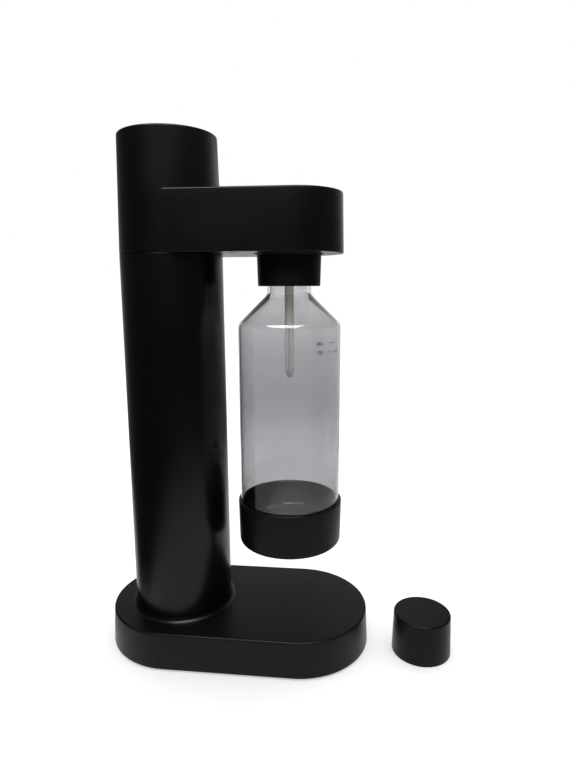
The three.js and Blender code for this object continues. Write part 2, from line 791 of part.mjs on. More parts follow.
// The head shell: the tower's upper part and the arm in one moulding, open below and at the top.
function makeHeadShell() {
  const bore = turned([
    [0, seamHeight - overrun],
    [headRadiusAt(seamHeight - overrun) - headWall, seamHeight - overrun],
    [headRadiusAt(rimUnderside) - headWall, rimUnderside],
    [0, rimUnderside],
  ], wideSides);
  const armRoom = lofted([armOutline(armUnderside, headWall), armOutline(armCeiling, headWall)]);
  const buttonHole = disc(buttonRadius + slipGap, rimUnderside - overrun, overallHeight + overrun,
    wideSides);
  const lipOuter = tubeBore - slipGap;
  const lip = turned([
    [lipOuter - headLipWall, seamHeight - headLipDepth],
    [lipOuter, seamHeight - headLipDepth],
    [lipOuter, seamHeight],
    [headRadiusAt(seamHeight) - innerRingInset, seamHeight + innerRingInset],
    [headRadiusAt(seamHeight + headLipRise) - innerRingInset, seamHeight + headLipRise],
    [lipOuter - headLipWall, seamHeight + headLipRise],
  ], wideSides);
  const ringTop = armUnderside + innerRingHeight;
  const wallRing = turned([
    [headRadiusAt(seamHeight) - headWall, seamHeight + headLipRise],
    [headRadiusAt(seamHeight + headLipRise) - innerRingInset, seamHeight + headLipRise],
    [headRadiusAt(ringTop) - innerRingInset, ringTop],
    [headRadiusAt(ringTop) - headWall, ringTop],
  ], wideSides);
  const hollow = cutAll(headOutside(), [bore, armRoom, buttonHole]);
  const shell = cutAll(joinAll([hollow, lip, wallRing, ...headPosts()]), headScrewHoles());
  addPiece(group, 'head_shell', shell, satinBlack);
  headBossPlaces.forEach((place, index) => {
    const headBottom = sleeveTop - sleevePlate - screwHeadHeight - restGap;
    addScrew(group, `head_screw_${index + 1}`, place, headBottom, sleevePlate + screwBite);
  });
}

// The plate that closes the arm from below, cut round the tower and round the collar.
function makeArmCover() {
  const inset = headWall + slipGap;
  const outline = armOutline(coverTop, inset).outline;
  const plate = lofted([{ height: armUnderside, outline }, { height: coverTop, outline }]);
  const below = armUnderside - overrun;
  const above = coverTop + overrun;
  const towerCut = disc(headRadiusAt(armUnderside) + slipGap, below, above, wideSides);
  const collarCut = peg([bottleReach, 0], collarHoleRadius, below, above, middleSides);
  const seats = coverScrewPlaces.map((place) => screwRoom(place, below,
    armUnderside + screwHeadHeight + restGap, above));
  addPiece(group, 'arm_cover', cutAll(plate, [towerCut, collarCut, ...seats]), satinBlack);
  coverScrewPlaces.forEach((place, index) => {
    addScrew(group, `arm_cover_screw_${index + 1}`, place, armUnderside,
      armCoverThickness - screwHeadHeight + screwBite);
  });
}

// The push button that closes the top of the tower, with a lip, a skirt and a stud for the lever.
function makeButton() {
  const lipTop = rimUnderside - pressGap;
  const lipBottom = lipTop - buttonLipHeight;
  const skirtBottom = overallHeight - buttonSkirtDepth;
  const skirtBore = buttonRadius - buttonSkirtWall;
  const cap = turned([
    [0, overallHeight - buttonDish],
    [buttonRadius - buttonDishInset, overallHeight],
    [buttonRadius - buttonEdge, overallHeight],
    [buttonRadius, overallHeight - buttonEdge],
    [buttonRadius, lipTop],
    [buttonRadius + buttonLip, lipTop],
    [buttonRadius + buttonLip, lipBottom],
    [buttonRadius, lipBottom],
    [buttonRadius, skirtBottom],
    [skirtBore, skirtBottom],
    [skirtBore, buttonUnderside],
    [0, buttonUnderside],
  ], wideSides);
  const studBottom = leverOverAtStud + pressGap;
  const stud = turned([
    [0, studBottom],
    [studRadius * domeReachShare, studBottom + actuatorDome * domeRiseShare],
    [studRadius, studBottom + actuatorDome],
    [studRadius, buttonUnderside + restGap],
    [0, buttonUnderside + restGap],
  ], smallSides);
  addPiece(group, 'press_button', cap.add(stud.translate([leverPushReach, 0, 0])), satinBlack);
  const spring = coil(springRadius, springWireRadius, springCurls, blockTop + restGap,
    buttonUnderside - restGap);
  addPiece(group, 'button_spring', spring, springSteel);
}

// The valve block: a socket for the cylinder's valve, a gas port, a spring seat and the lever's ears.
function makeValveBlock() {
  const seatBottom = blockTop - springSeatHeight;
  const body = turned([
    [socketRadius, blockBottom],
    [blockFlangeRadius, blockBottom],
    [blockFlangeRadius, blockBottom + blockFlangeHeight],
    [blockBodyRadius, blockBottom + blockFlangeHeight],
    [blockBodyRadius, seatBottom],
    [springSeatRadius, seatBottom],
    [springSeatRadius, blockTop],
    [actuatorRadius + slipGap, blockTop],
    [actuatorRadius + slipGap, socketTop],
    [socketRadius, socketTop],
  ], middleSides);
  const earTop = leverAxis + leverEarCrown;
  const earMiddle = (leverWidth + leverEarThickness) / 2 + slipGap;
  const ears = [-1, 1].map((side) => block(leverEarLength, leverEarThickness, blockTop - restGap, earTop,
    -leverPivotReach, side * earMiddle));
  const pinHole = lyingPeg(leverPinRadius + restGap, -leverWidth, leverWidth, -leverPivotReach, leverAxis);
  const port = facingX(disc(portRadius, 0, blockBodyRadius, screwSides), 0, portHeight);
  const portThread = facingX(disc(barbThreadRadius + slipGap, blockPortFace - barbThreadLength - restGap,
    blockBodyRadius + overrun, smallSides), 0, portHeight);
  const screwHoles = blockScrewPlaces.map((place) => peg(place, screwHoleRadius, blockBottom - overrun,
    blockBottom + blockFlangeHeight + overrun, screwSides));
  const blockSolid = cutAll(joinAll([body, ...ears]), [pinHole, port, portThread, ...screwHoles]);
  addPiece(group, 'valve_block', blockSolid, blockZinc);
  blockScrewPlaces.forEach((place, index) => {
    const headBottom = sleeveTop - sleevePlate - screwHeadHeight - restGap;
    addScrew(group, `block_screw_${index + 1}`, place, headBottom, sleevePlate + blockFlangeHeight);
  });
  addPiece(group, 'valve_gasket', ring(gasketBore, valveThreadRadius, gasketBottom,
    gasketBottom + gasketThickness, middleSides), sealRubber);
}

// Turns a solid on Z to lie along X, from a place on the tower's axis.
function facingX(solid, x, height) {
  return solid.rotate([0, quarterTurn, 0]).translate([x, 0, height]);
}

// A peg that lies along Y.
function lyingPeg(radius, from, to, x, height) {
  return disc(radius, from, to, smallSides).rotate([-quarterTurn, 0, 0]).translate([x, 0, height]);
}

// The lever over the valve block, its axle, and the pin that it pushes down on the valve.
function makeLever() {
  const outline = pillPoints(0, leverRootRadius, leverPivotReach + leverPushReach, leverTipRadius);
  const bar = lofted([
    { height: -leverWidth / 2, outline },
    { height: leverWidth / 2, outline },
  ]).rotate([quarterTurn, 0, 0]).translate([-leverPivotReach, 0, leverAxis]);
  const hole = lyingPeg(leverPinRadius + restGap, -leverWidth, leverWidth, -leverPivotReach, leverAxis);
  addPiece(group, 'press_lever', bar.subtract(hole), blockZinc);
  const axleReach = leverWidth / 2 + slipGap + leverEarThickness;
  const axle = lyingPeg(leverPinRadius, -axleReach, axleReach, -leverPivotReach, leverAxis);
  addPiece(group, 'lever_axle', axle, screwSteel);
  const top = leverUnderAtPin - pressGap;
  const bottom = valveTop - valvePinRecess + pressGap;
  addPiece(group, 'actuator_pin', turned([
    [0, bottom],
    [valvePinRadius, bottom],
    [valvePinRadius, gasketBottom + gasketThickness],
    [actuatorRadius, gasketBottom + gasketThickness + buttonTravel / 2],
    [actuatorRadius, top - 2 * actuatorDome],
    [actuatorHeadRadius, top - 2 * actuatorDome],
    [actuatorHeadRadius, top - actuatorDome],
    [actuatorHeadRadius * domeReachShare, top - actuatorDome * domeRiseShare],
    [0, top],
  ], smallSides), screwSteel);
}

// A brass barb on Z: a threaded end below zero, a collar above it and a stem for the hose.
function barb() {
  return turned([
    [barbBore, -barbThreadLength],
    [barbThreadRadius, -barbThreadLength],
    [barbThreadRadius, 0],
    [barbCollarRadius, 0],
    [barbCollarRadius, barbCollarLength],
    [barbRadius, barbCollarLength],
    [barbRadius, barbCollarLength + barbLength],
    [barbBore, barbCollarLength + barbLength],
  ], smallSides);
}

// The gas hose through the arm, from the valve block's barb to the one on the carbonating head.
function makeGasLine() {
  const headFace = bottleReach - gasHeadRadius - restGap;
  addPiece(group, 'block_barb', facingX(barb(), blockPortFace, portHeight), brass);
  const headBarb = barb().rotate([0, -quarterTurn, 0]).translate([headFace, 0, gasPortHeight]);
  addPiece(group, 'head_barb', headBarb, brass);
  const start = new THREE.Vector3(blockPortFace + barbCollarLength + restGap, 0, portHeight);
  const end = new THREE.Vector3(headFace - barbCollarLength - restGap, 0, gasPortHeight);
  const straight = new THREE.Vector3(hoseStraight, 0, 0);
  const bend = new THREE.Vector3(hoseBend, 0, 0);
  const bendStart = start.clone().add(straight);
  const bendEnd = end.clone().sub(straight);
  const route = new THREE.CurvePath();
  route.add(new THREE.LineCurve3(start, bendStart));
  route.add(new THREE.CubicBezierCurve3(bendStart, bendStart.clone().add(bend), bendEnd.clone().sub(bend),
    bendEnd));
  route.add(new THREE.LineCurve3(bendEnd, end));
  const section = new THREE.Shape(circlePoints(hoseRadius));
  section.holes.push(new THREE.Path(circlePoints(hoseBore)));
  const hose = new THREE.ExtrudeGeometry(section, { steps: hoseSteps, extrudePath: route });
  addPiece(group, 'gas_hose', solidOf(hose), hoseWhite);
}

function circlePoints(radius) {
  const points = [];
  for (let side = 0; side < hoseSides; side += 1) {
    const angle = (2 * Math.PI * side) / hoseSides;
    points.push(new THREE.Vector2(radius * Math.cos(angle), radius * Math.sin(angle)));
  }
  return points;
}

// The gas cylinder: a dished foot, a straight wall, a rounded shoulder and an open neck.
function makeCylinder() {
  const inner = cylinderRadius - cylinderWall;
  const rest = cylinderRadius * cylinderRestShare;
  const outside = cylinderDishShares.map(([reach, rise]) => [rest * reach,
    cylinderBottom + cylinderDish * rise]);
  outside.push([rest, cylinderBottom], [cylinderRadius, cylinderBottom + cylinderFootRise]);
  for (const [reach, rise] of cylinderShoulderShares) {
    outside.push(shoulderPoint(cylinderRadius, cylinderNeckRadius, cylinderShoulderStart,
      cylinderShoulderTop, reach, rise));
  }
  outside.push([cylinderNeckRadius, cylinderShoulderTop], [cylinderNeckRadius, cylinderNeckTop]);
  const bore = valveStemRadius + slipGap;
  const inside = [[bore, cylinderNeckTop], [bore, cylinderShoulderTop - cylinderWall]];
  for (const [reach, rise] of cylinderShoulderShares.toReversed()) {
    inside.push(shoulderPoint(inner, bore, cylinderShoulderStart - cylinderWall,
      cylinderShoulderTop - cylinderWall, reach, rise));
  }
  const floor = cylinderBottom + cylinderFootRise + cylinderWall;
  inside.push([inner, floor], [rest, floor]);
  inside.push([0, floor + cylinderDish]);
  addPiece(group, 'gas_cylinder', turned([...outside, ...inside], wideSides), cylinderGrey);
}

function shoulderPoint(wide, narrow, low, high, reach, rise) {
  return [narrow + (wide - narrow) * reach, low + (high - low) * rise];
}

// The cylinder's valve with its pin and spring.
function makeCylinderValve() {
  const pinRoom = valvePinRadius + slipGap;
  const valve = turned([
    [valvePinHeadRadius / 2, valveBottom],
    [valveStemRadius, valveBottom],
    [valveStemRadius, valveFlangeBottom],
    [valveThreadRadius, valveFlangeBottom],
    [valveThreadRadius, valveTop],
    [pinRoom, valveTop],
    [pinRoom, valveSeat],
    [valveChamberRadius, valveSeat],
    [valveChamberRadius, valveBottom + valveLedge],
    [valvePinHeadRadius / 2, valveBottom + valveLedge],
  ], middleSides);
  const nut = disc(valveFlangeRadius, valveFlangeBottom, valveFlangeTop, nutSides);
  const nutBore = disc(valveStemRadius, valveFlangeBottom - overrun, valveFlangeTop + overrun, smallSides);
  addPiece(group, 'cylinder_valve', valve.add(nut.subtract(nutBore)), brass);
  addPiece(group, 'valve_pin', turned([
    [0, pinHeadBottom - valvePinTail],
    [valvePinRadius, pinHeadBottom - valvePinTail],
    [valvePinRadius, pinHeadBottom],
    [valvePinHeadRadius, pinHeadBottom],
    [valvePinHeadRadius, pinHeadTop],
    [valvePinRadius, pinHeadTop],
    [valvePinRadius, valveTop - valvePinRecess],
    [0, valveTop - valvePinRecess],
  ], smallSides), screwSteel);
  const spring = coil(pinSpringRadius, pinSpringWireRadius, pinSpringCurls,
    valveBottom + valveLedge + restGap, pinHeadBottom - restGap);
  addPiece(group, 'valve_spring', spring, springSteel);
}

const bottleStation = new THREE.Group();
bottleStation.position.set(bottleReach, 0, 0);
group.add(bottleStation);

// Two screw ears on a flange.
function flangeEars(bottom, top) {
  const bar = block(2 * collarEarRadius, 2 * collarEarReach, bottom, top, 0, 0);
  const ends = collarScrewPlaces.map((place) => peg(place, collarEarRadius, bottom, top, smallSides));
  return joinAll([bar, ...ends]);
}

// The collar under the arm that the bottle screws into.
function makeCollar() {
  const bottomRadius = collarTopRadius - collarTaper;
  const body = turned([
    [collarBore, collarBottom],
    [bottomRadius - collarEdge, collarBottom],
    [bottomRadius, collarBottom + collarEdge],
    [collarTopRadius, armUnderside],
    [collarTopRadius, collarFlangeBottom],
    [collarFlangeRadius, collarFlangeBottom],
    [collarFlangeRadius, collarFlangeTop],
    [collarBore, collarFlangeTop],
  ], wideSides);
  const bore = disc(collarBore, collarFlangeBottom - overrun, collarFlangeTop + overrun, wideSides);
  const ears = flangeEars(collarFlangeBottom, collarFlangeTop).subtract(bore);
  const holes = collarScrewPlaces.map((place) => peg(place, screwHoleRadius, collarFlangeBottom - overrun,
    collarFlangeTop + overrun, screwSides));
  addPiece(bottleStation, 'bottle_collar', cutAll(body.add(ears), holes), collarBlack);
}

// The carbonating head: a spigot that holds the seal, a socket for the nozzle and the gas port.
function makeGasHead() {
  const spigot = collarBore - slipGap;
  const body = turned([
    [0, spigotBottom],
    [spigot, spigotBottom],
    [spigot, gasHeadFlangeBottom],
    [collarFlangeRadius, gasHeadFlangeBottom],
    [collarFlangeRadius, gasHeadFlangeTop],
    [gasHeadRadius, gasHeadFlangeTop],
    [gasHeadRadius, gasHeadTop],
    [0, gasHeadTop],
  ], wideSides).add(flangeEars(gasHeadFlangeBottom, gasHeadFlangeTop));
  const socket = disc(nozzleRadius + slipGap, spigotBottom - overrun, nozzleTop + restGap, smallSides);
  const riser = disc(nozzleBore, nozzleTop - overrun, gasPortHeight, smallSides);
  const threadDepth = gasHeadRadius + restGap - barbThreadLength - restGap;
  const port = disc(portRadius, 0, gasHeadRadius, screwSides).rotate([0, -quarterTurn, 0])
    .translate([0, 0, gasPortHeight]);
  const thread = disc(barbThreadRadius + slipGap, threadDepth, gasHeadRadius + overrun, smallSides)
    .rotate([0, -quarterTurn, 0]).translate([0, 0, gasPortHeight]);
  const reliefSocket = peg([reliefOffset, 0], reliefStemRadius + slipGap,
    gasHeadTop - reliefStemLength - restGap, gasHeadTop + overrun, smallSides);
  const holes = collarScrewPlaces.map((place) => peg(place, screwHoleRadius, gasHeadFlangeBottom - overrun,
    gasHeadFlangeTop + overrun, screwSides));
  const cuts = [socket, riser, port, thread, reliefSocket, ...holes];
  addPiece(bottleStation, 'carbonating_head', cutAll(body, cuts), innerBlack);
  collarScrewPlaces.forEach((place, index) => {
    addScrew(bottleStation, `collar_screw_${index + 1}`, place,
      collarFlangeBottom - screwHeadHeight - restGap / 2, 2 * collarFlangeHeight + screwBite);
  });
  addPiece(bottleStation, 'bottle_seal', ring(sealBore, collarBore - slipGap, sealBottom,
    sealBottom + sealThickness, wideSides), sealRubber);
}

function makeReliefValve() {
  const stemBottom = gasHeadTop - reliefStemLength;
  const headBottom = gasHeadTop + restGap;
  const headTop = headBottom + reliefHeadHeight;
  const valve = turned([
    [0, stemBottom],
    [reliefStemRadius, stemBottom],
    [reliefStemRadius, headBottom],
    [reliefHeadRadius, headBottom],
    [reliefHeadRadius, headTop],
    [reliefCapRadius, headTop],
    [reliefCapRadius, headTop + reliefCapHeight],
    [0, headTop + reliefCapHeight],
  ], smallSides).translate([reliefOffset, 0, 0]);
  addPiece(bottleStation, 'relief_valve', valve, brass);
}

// The nozzle tube that reaches down into the bottle, and the long paler tip at its end.
function makeNozzle() {
  const tube = ring(nozzleBore, nozzleRadius, nozzleBottom, nozzleTop, smallSides);
  addPiece(bottleStation, 'nozzle_tube', tube, tubeGrey);
  const tipTop = nozzleBottom - restGap;
  const tip = turned([
    [nozzleJet, tipTop - nozzleTipLength],
    [nozzleTipEnd, tipTop - nozzleTipLength],
    [nozzleRadius, tipTop - nozzleTipLength + nozzleTipTaper],
    [nozzleRadius, tipTop],
    [nozzleTipShankRadius, tipTop],
    [nozzleTipShankRadius, tipTop + nozzleTipShank],
    [nozzleJet, tipTop + nozzleTipShank],
  ], smallSides);
  addPiece(bottleStation, 'nozzle_tip', tip, tipPale);
}

// Three points of a rounded corner, which starts and ends at a distance from the corner.
function roundedCorner(before, corner, after, reach) {
  const middle = new THREE.Vector2(...corner);
  const towards = (place) => new THREE.Vector2(...place).sub(middle).setLength(reach).add(middle);
  const curve = new THREE.QuadraticBezierCurve(towards(before), middle, towards(after));
  return curve.getPoints(edgeSteps).map((point) => [point.x, point.y]);
}

// The bottle's shoulder from the straight wall up to the neck, moved in by a wall.
function bottleShoulder(inset) {
  const lean = Math.atan2(bottleRadius - neckRadius, shoulderHeight);
  const drop = inset * Math.tan(lean / 2);
  const wallFoot = [bottleRadius - inset, bottleBottom];
  const coneFoot = [bottleRadius - inset, shoulderBottom - drop];
  const coneTop = [neckRadius - inset, shoulderTop - drop];
  const neckEnd = [neckRadius - inset, neckTop];
  return [
    ...roundedCorner(wallFoot, coneFoot, coneTop, shoulderEdge),
    ...roundedCorner(coneFoot, coneTop, neckEnd, neckFillet),
  ];
}

// The blown bottle: a domed bottom, a step for the cup, a straight wall, a cone and a beaded neck.
function makeBottle() {
  const cupLine = cupTop - cupLip;
  const waist = bottleRadius - bottleStep;
  const outside = bottleDomeShares.map(([reach, rise]) => [bottleStandInner * reach,
    bottleBottom + bottleDomeRise * rise]);
  outside.push(
    [bottleStandInner, bottleBottom],
    [bottleStandOuter, bottleBottom],
    [waist, bottleBottom + bottleHeel],
    [waist, cupLine],
    [bottleRadius, cupLine + bottleStep],
    ...bottleShoulder(0),
  );
  for (let bead = neckBeadCount; bead > 0; bead -= 1) {
    const middle = neckTop - neckBeadDrop - (bead - 1) * neckBeadPitch;
    outside.push(
      [neckRadius, middle - neckBeadHeight],
      [neckRadius + neckBead, middle - neckBeadHeight / 2],
      [neckRadius + neckBead, middle + neckBeadHeight / 2],
      [neckRadius, middle + neckBeadHeight],
    );
  }
  outside.push([neckRadius, neckTop]);
  const inside = [
    [neckRadius - bottleWall, neckTop],
    ...bottleShoulder(bottleWall).toReversed(),
    [bottleRadius - bottleWall, cupLine + bottleStep],
    [waist - bottleWall, cupLine],
    [waist - bottleWall, bottleBottom + bottleHeel],
    [bottleStandOuter - bottleWall / 2, bottleBottom + bottleWall],
    [bottleStandInner + bottleWall / 2, bottleBottom + bottleWall],
  ];
  for (const [reach, rise] of bottleDomeShares.toReversed()) {
    inside.push([bottleStandInner * reach, bottleBottom + bottleDomeRise * rise + bottleWall]);
  }
  addPiece(bottleStation, 'bottle', turned([...outside, ...inside], wideSides), clearPlastic);
}

// The black cup that the bottle stands in.
function makeBottleCup() {
  const bottomRadius = cupTopRadius - cupDraft;
  const heelArc = edgeRings(cupHeel, cupHeel).toReversed();
  const outside = [
    [0, cupUnderside + cupFootRecess],
    [bottomRadius - cupHeel - cupFootRing, cupUnderside + cupFootRecess],
    [bottomRadius - cupHeel - cupFootRing + cupFootRecess / 2, cupUnderside],
  ];
  for (const [height, inset] of heelArc) {
    outside.push([bottomRadius - inset, cupUnderside + cupHeel - height]);
  }
  outside.push(
    [cupTopRadius, cupTop - cupLip],
    [cupTopRadius - cupLip, cupTop],
    [cupBore + cupLip, cupTop],
    [cupBore, cupTop - cupLip],
    [cupBore, cupFloorTop + cupHeel],
    [bottleStandOuter + slipGap, cupFloorTop],
    [0, cupFloorTop],
  );
  addPiece(bottleStation, 'bottle_cup', turned(outside, wideSides), capBlack);
}

// The loose cap, mouth down on the table, with its sealing disc inside.
function makeCap() {
  const capStation = new THREE.Group();
  capStation.position.set(capX, capY, 0);
  group.add(capStation);
  const profile = [[collarBore, 0], [capRadius, 0]];
  for (const [height, inset] of edgeRings(capHeight, capEdge)) {
    profile.push([capRadius - (capTaper * height) / capHeight - inset, height]);
  }
  profile.push([0, capHeight], [0, capHeight - capCrown], [collarBore, capHeight - capCrown]);
  addPiece(capStation, 'loose_cap', turned(profile, wideSides), capBlack);
  const linerTop = capHeight - capCrown - restGap;
  const liner = disc(collarBore - slipGap, linerTop - linerThickness, linerTop, wideSides);
  addPiece(capStation, 'cap_liner', liner, sealRubber);
}

makeBaseShell();
makeBasePlate();
makeHatch();
makeTowerTube();
makeSleeve();
makeHeadShell();
makeArmCover();
makeButton();
makeValveBlock();
makeLever();
makeGasLine();
makeCylinder();
makeCylinderValve();
makeCollar();
makeGasHead();
makeReliefValve();
makeNozzle();
makeBottle();
makeBottleCup();
makeCap();

export default group;
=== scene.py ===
import math

import bmesh
import bpy
import numpy as np
from mathutils import Matrix, Vector


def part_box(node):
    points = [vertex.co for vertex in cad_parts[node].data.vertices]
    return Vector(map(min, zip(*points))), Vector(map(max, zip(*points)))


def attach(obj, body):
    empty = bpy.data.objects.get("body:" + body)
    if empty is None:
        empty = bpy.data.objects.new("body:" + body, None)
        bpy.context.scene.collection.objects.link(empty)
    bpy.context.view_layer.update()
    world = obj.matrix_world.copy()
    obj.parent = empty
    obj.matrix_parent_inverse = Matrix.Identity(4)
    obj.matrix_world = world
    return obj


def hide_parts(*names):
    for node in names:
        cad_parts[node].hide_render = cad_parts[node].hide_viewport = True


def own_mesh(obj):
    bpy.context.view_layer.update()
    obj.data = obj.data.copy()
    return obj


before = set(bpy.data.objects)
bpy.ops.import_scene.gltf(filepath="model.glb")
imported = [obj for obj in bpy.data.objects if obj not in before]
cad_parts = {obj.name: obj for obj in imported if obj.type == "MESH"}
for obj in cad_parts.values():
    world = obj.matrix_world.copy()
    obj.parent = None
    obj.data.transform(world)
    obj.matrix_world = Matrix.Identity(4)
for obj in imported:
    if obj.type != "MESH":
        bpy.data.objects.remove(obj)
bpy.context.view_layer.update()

bl_info = {
    "name": "Sparkling water maker",
    "version": (1, 0, 0),
    "blender": (4, 5, 0),
    "location": "3D View > Sidebar > Water maker",
    "description": "Builds the looks of a countertop water carbonator round its packed frame",
    "category": "Add Mesh",
}

MM = 0.001
CURVE_SIDES = 192  # sides of the large round pieces
FINE_SIDES = 64  # sides of the small ones
ARC_STEPS = 8  # steps of a rounded corner
SUPPORT = 0.25 * MM  # how far from its ends a straight gets its extra points
SHARP = math.radians(34)  # edges sharper than this are shaded sharp
GAP = 0.3 * MM  # room between pieces that fit into each other
OVERRUN = 1 * MM  # how far a cutter runs out of its piece
SEAT_RADIUS = 2.6 * MM  # the seat of a screw's head
SEAT_DEPTH = 2 * MM
FLANGE = 3.5 * MM  # thickness of the two flanges that the collar screws hold
THREAD_ROOM = 2 * MM  # from the bottle's neck to the bore round its thread
NUT_CHAMFER = 0.8 * MM


def length(name, description, millimetres):
    """A size that a user would change, kept in metres and shown as a length."""
    return bpy.props.FloatProperty(
        name=name, description=description, default=millimetres * MM, unit="LENGTH", precision=5)


def linear(hex_colour):
    """One sRGB hex colour as linear red, green and blue."""
    parts = np.array([int(hex_colour[i:i + 2], 16) for i in (1, 3, 5)]) / 255
    low = parts / 12.92
    high = ((parts + 0.055) / 1.055) ** 2.4
    return tuple(float(c) for c in np.where(parts <= 0.04045, low, high))


def colour(name, description, hex_colour):
    """A colour that a user would change, kept as linear values."""
    return bpy.props.FloatVectorProperty(
        name=name, description=description, default=linear(hex_colour), subtype="COLOR", min=0, max=1)


class WaterMakerSizes(bpy.types.PropertyGroup):
    """Sizes of the visible shells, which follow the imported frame."""

    tower_foot: length("Tower foot radius", "Radius of the tower just above its foot", 40.9)
    tower_top: length("Tower top radius", "Radius of the tower at the seam under the head", 40.3)
    tower_wall: length("Tower wall", "Thickness of the tower's wall", 2.3)
    tower_fillet: length("Tower foot fillet", "Radius of the hollow curve at the tower's foot", 4)
    seam: length("Seam height", "Height of the seam under the head and of the arm's underside", 326.4)
    seam_gap: length("Seam gap", "Width of the seam between tower and head", 0.4)
    top: length("Overall height", "Height of the head's top over the table", 415)
    head_top: length("Head top radius", "Radius of the head at its top", 38)
    head_wall: length("Head wall", "Thickness of the head's wall", 2.5)
    head_edge: length("Head edge radius", "Radius of the rounded edges of head and arm", 1.2)
    arm_top: length("Arm top", "Height of the arm's top", 371.5)
    arm_end: length("Arm end centre", "Distance from the tower's axis to the centre of the arm's end", 98.7)
    arm_radius: length("Arm end radius", "Radius of the arm's end at its underside", 37.9)
    arm_draft: length("Arm draft", "How much narrower the arm's end is at its top", 1)
    arm_blend: length("Arm blend", "How far the arm's sides start inside the tower's round", 0.4)
    cover: length("Arm cover thickness", "Thickness of the plate under the arm", 3.2)
    cover_hole: length("Arm cover hole radius", "Radius of the hole round the collar", 27.5)
    bottle_axis: length("Bottle axis", "Distance from the tower's axis to the bottle's", 94.1)
    button: length("Button radius", "Radius of the push button", 33)
    rim: length("Rim depth", "Depth of the head's rim over the button's lip", 3)
    base_left: length("Base left centre", "Place of the base's left round end", -2.4)
    base_right: length("Base right centre", "Place of the base's right round end", 101.7)
    base_radius: length("Base end radius", "Radius of the base's ends at the foot", 59.2)
    base_draft: length("Base draft", "How much narrower the base is at its deck", 1.5)
    base_foot: length("Base foot height", "Height of the base's lower edge over the table", 1.2)
    base_top: length("Deck height", "Height of the base's deck", 31.1)
    base_edge: length("Base edge radius", "Radius of the deck's rounded edge", 1.4)
    base_wall: length("Base wall", "Thickness of the base's wall", 2.6)
    plate: length("Bottom plate", "Thickness of the base's bottom plate and of the hatch", 3.2)
    well: length("Well radius", "Radius of the well that the gas cylinder stands in", 31.2)
    bottle_radius: length("Bottle radius", "Radius of the bottle's body", 40.7)
    bottle_wall: length("Bottle wall", "Thickness of the bottle's wall", 1.4)
    neck_radius: length("Neck radius", "Radius of the bottle's neck", 17.2)
    neck_visible: length("Visible neck", "Height of neck that shows under the collar", 6.1)
    shoulder: length("Shoulder height", "Height of the bottle's cone from its wall to its neck", 23.4)
    cup_radius: length("Cup radius", "Radius of the cup at its rim", 42.9)
    cup_draft: length("Cup draft", "How much narrower the cup is at its foot", 0.8)
    cap_x: length("Cap place X", "Place of the loose cap along the base", 205.7)
    cap_y: length("Cap place Y", "Place of the loose cap across the base", -9.3)
    cap_radius: length("Cap radius", "Radius of the loose cap at its mouth", 24.1)
    cap_taper: length("Cap taper", "How much narrower the cap is at its top", 1)
    cap_height: length("Cap height", "Height of the loose cap", 34)


class WaterMakerColours(bpy.types.PropertyGroup):
    """Colours of the finishes."""

    body: colour("Body black", "Black of the tower, head and arm", "#070708")
    base: colour("Base black", "Black of the base", "#0a0a0b")
    collar: colour("Collar black", "Black of the collar under the arm", "#060607")
    cap: colour("Cap black", "Black of the cup and the loose cap", "#0b0a0d")
    inner: colour("Inner black", "Black of the hidden mouldings", "#121213")
    smoke: colour("Bottle tint", "Tint of the clear bottle", "#dfdee0")
    smoke_low: colour("Body bottle tint", "Tint of the bottle's stretched body", "#b9babc")
    nozzle: colour("Nozzle grey", "Grey of the nozzle tube", "#eff1e4")
    tip: colour("Nozzle tip", "Pale natural plastic of the nozzle's tip", "#fafbf6")
    ink: colour("Ink", "Colour of the fill marks", "#1c1c1f")
    cylinder: colour("Cylinder grey", "Paint of the gas cylinder", "#8f9396")
    brass: colour("Brass", "Colour of the turned brass", "#c3a25c")
    zinc: colour("Zinc", "Colour of the cast block and lever", "#9fa1a4")
    steel: colour("Steel", "Colour of screws, pins and springs", "#a3a5a8")
    black_steel: colour("Blackened steel", "Colour of the screws under the arm", "#1b1b1d")
    rubber: colour("Rubber", "Colour of feet and seals", "#252525")
    seal: colour("Seal", "Colour of the seals and gaskets", "#5c5e60")
    foam: colour("Foam", "Colour of the pad under the cylinder", "#3a3b3d")
    hose: colour("Hose", "Colour of the gas hose", "#d8d8d2")
    floor: colour("Floor", "Colour of the table", "#f4f4f4")


class WaterMakerStage(bpy.types.PropertyGroup):
    """Camera and light."""

    lens: bpy.props.FloatProperty(
        name="Lens", description="Focal length on a 36 mm high picture", default=25.7365, unit="CAMERA")
    eye: bpy.props.FloatVectorProperty(
        name="Eye", description="Place of the camera", subtype="TRANSLATION",
        default=(140.85 * MM, -436.95 * MM, 300.79 * MM))
    yaw: bpy.props.FloatProperty(
        name="Yaw", description="Turn of the view to the right", default=-0.10939, subtype="ANGLE")
    pitch: bpy.props.FloatProperty(
        name="Pitch", description="Tilt of the view downwards", default=0.17448, subtype="ANGLE")
    roll: bpy.props.FloatProperty(
        name="Roll", description="Roll of the view", default=-0.00393, subtype="ANGLE")
    world_light: bpy.props.FloatProperty(
        name="Room light", description="Strength of the room's even light on surfaces", default=0.8, min=0)
    table_lift: bpy.props.FloatProperty(
        name="Table lift", description="Light that the table adds where it is seen", default=0.36, min=0)


def add_node(tree, kind, settings=None, inputs=None):
    """Adds a node, sets its properties, and sets or links its inputs by name or number."""
    node = tree.nodes.new(kind)
    for name, value in (settings or {}).items():
        setattr(node, name, value)
    for name, value in (inputs or {}).items():
        if isinstance(value, bpy.types.NodeSocket):
            tree.links.new(value, node.inputs[name])
        else:
            node.inputs[name].default_value = value
    return node


def new_material(name):
    """An empty material with its output node, and the tree that holds it."""
    material = bpy.data.materials.new(name)
    material.use_nodes = True
    tree = material.node_tree
    tree.nodes.clear()
    return material, tree


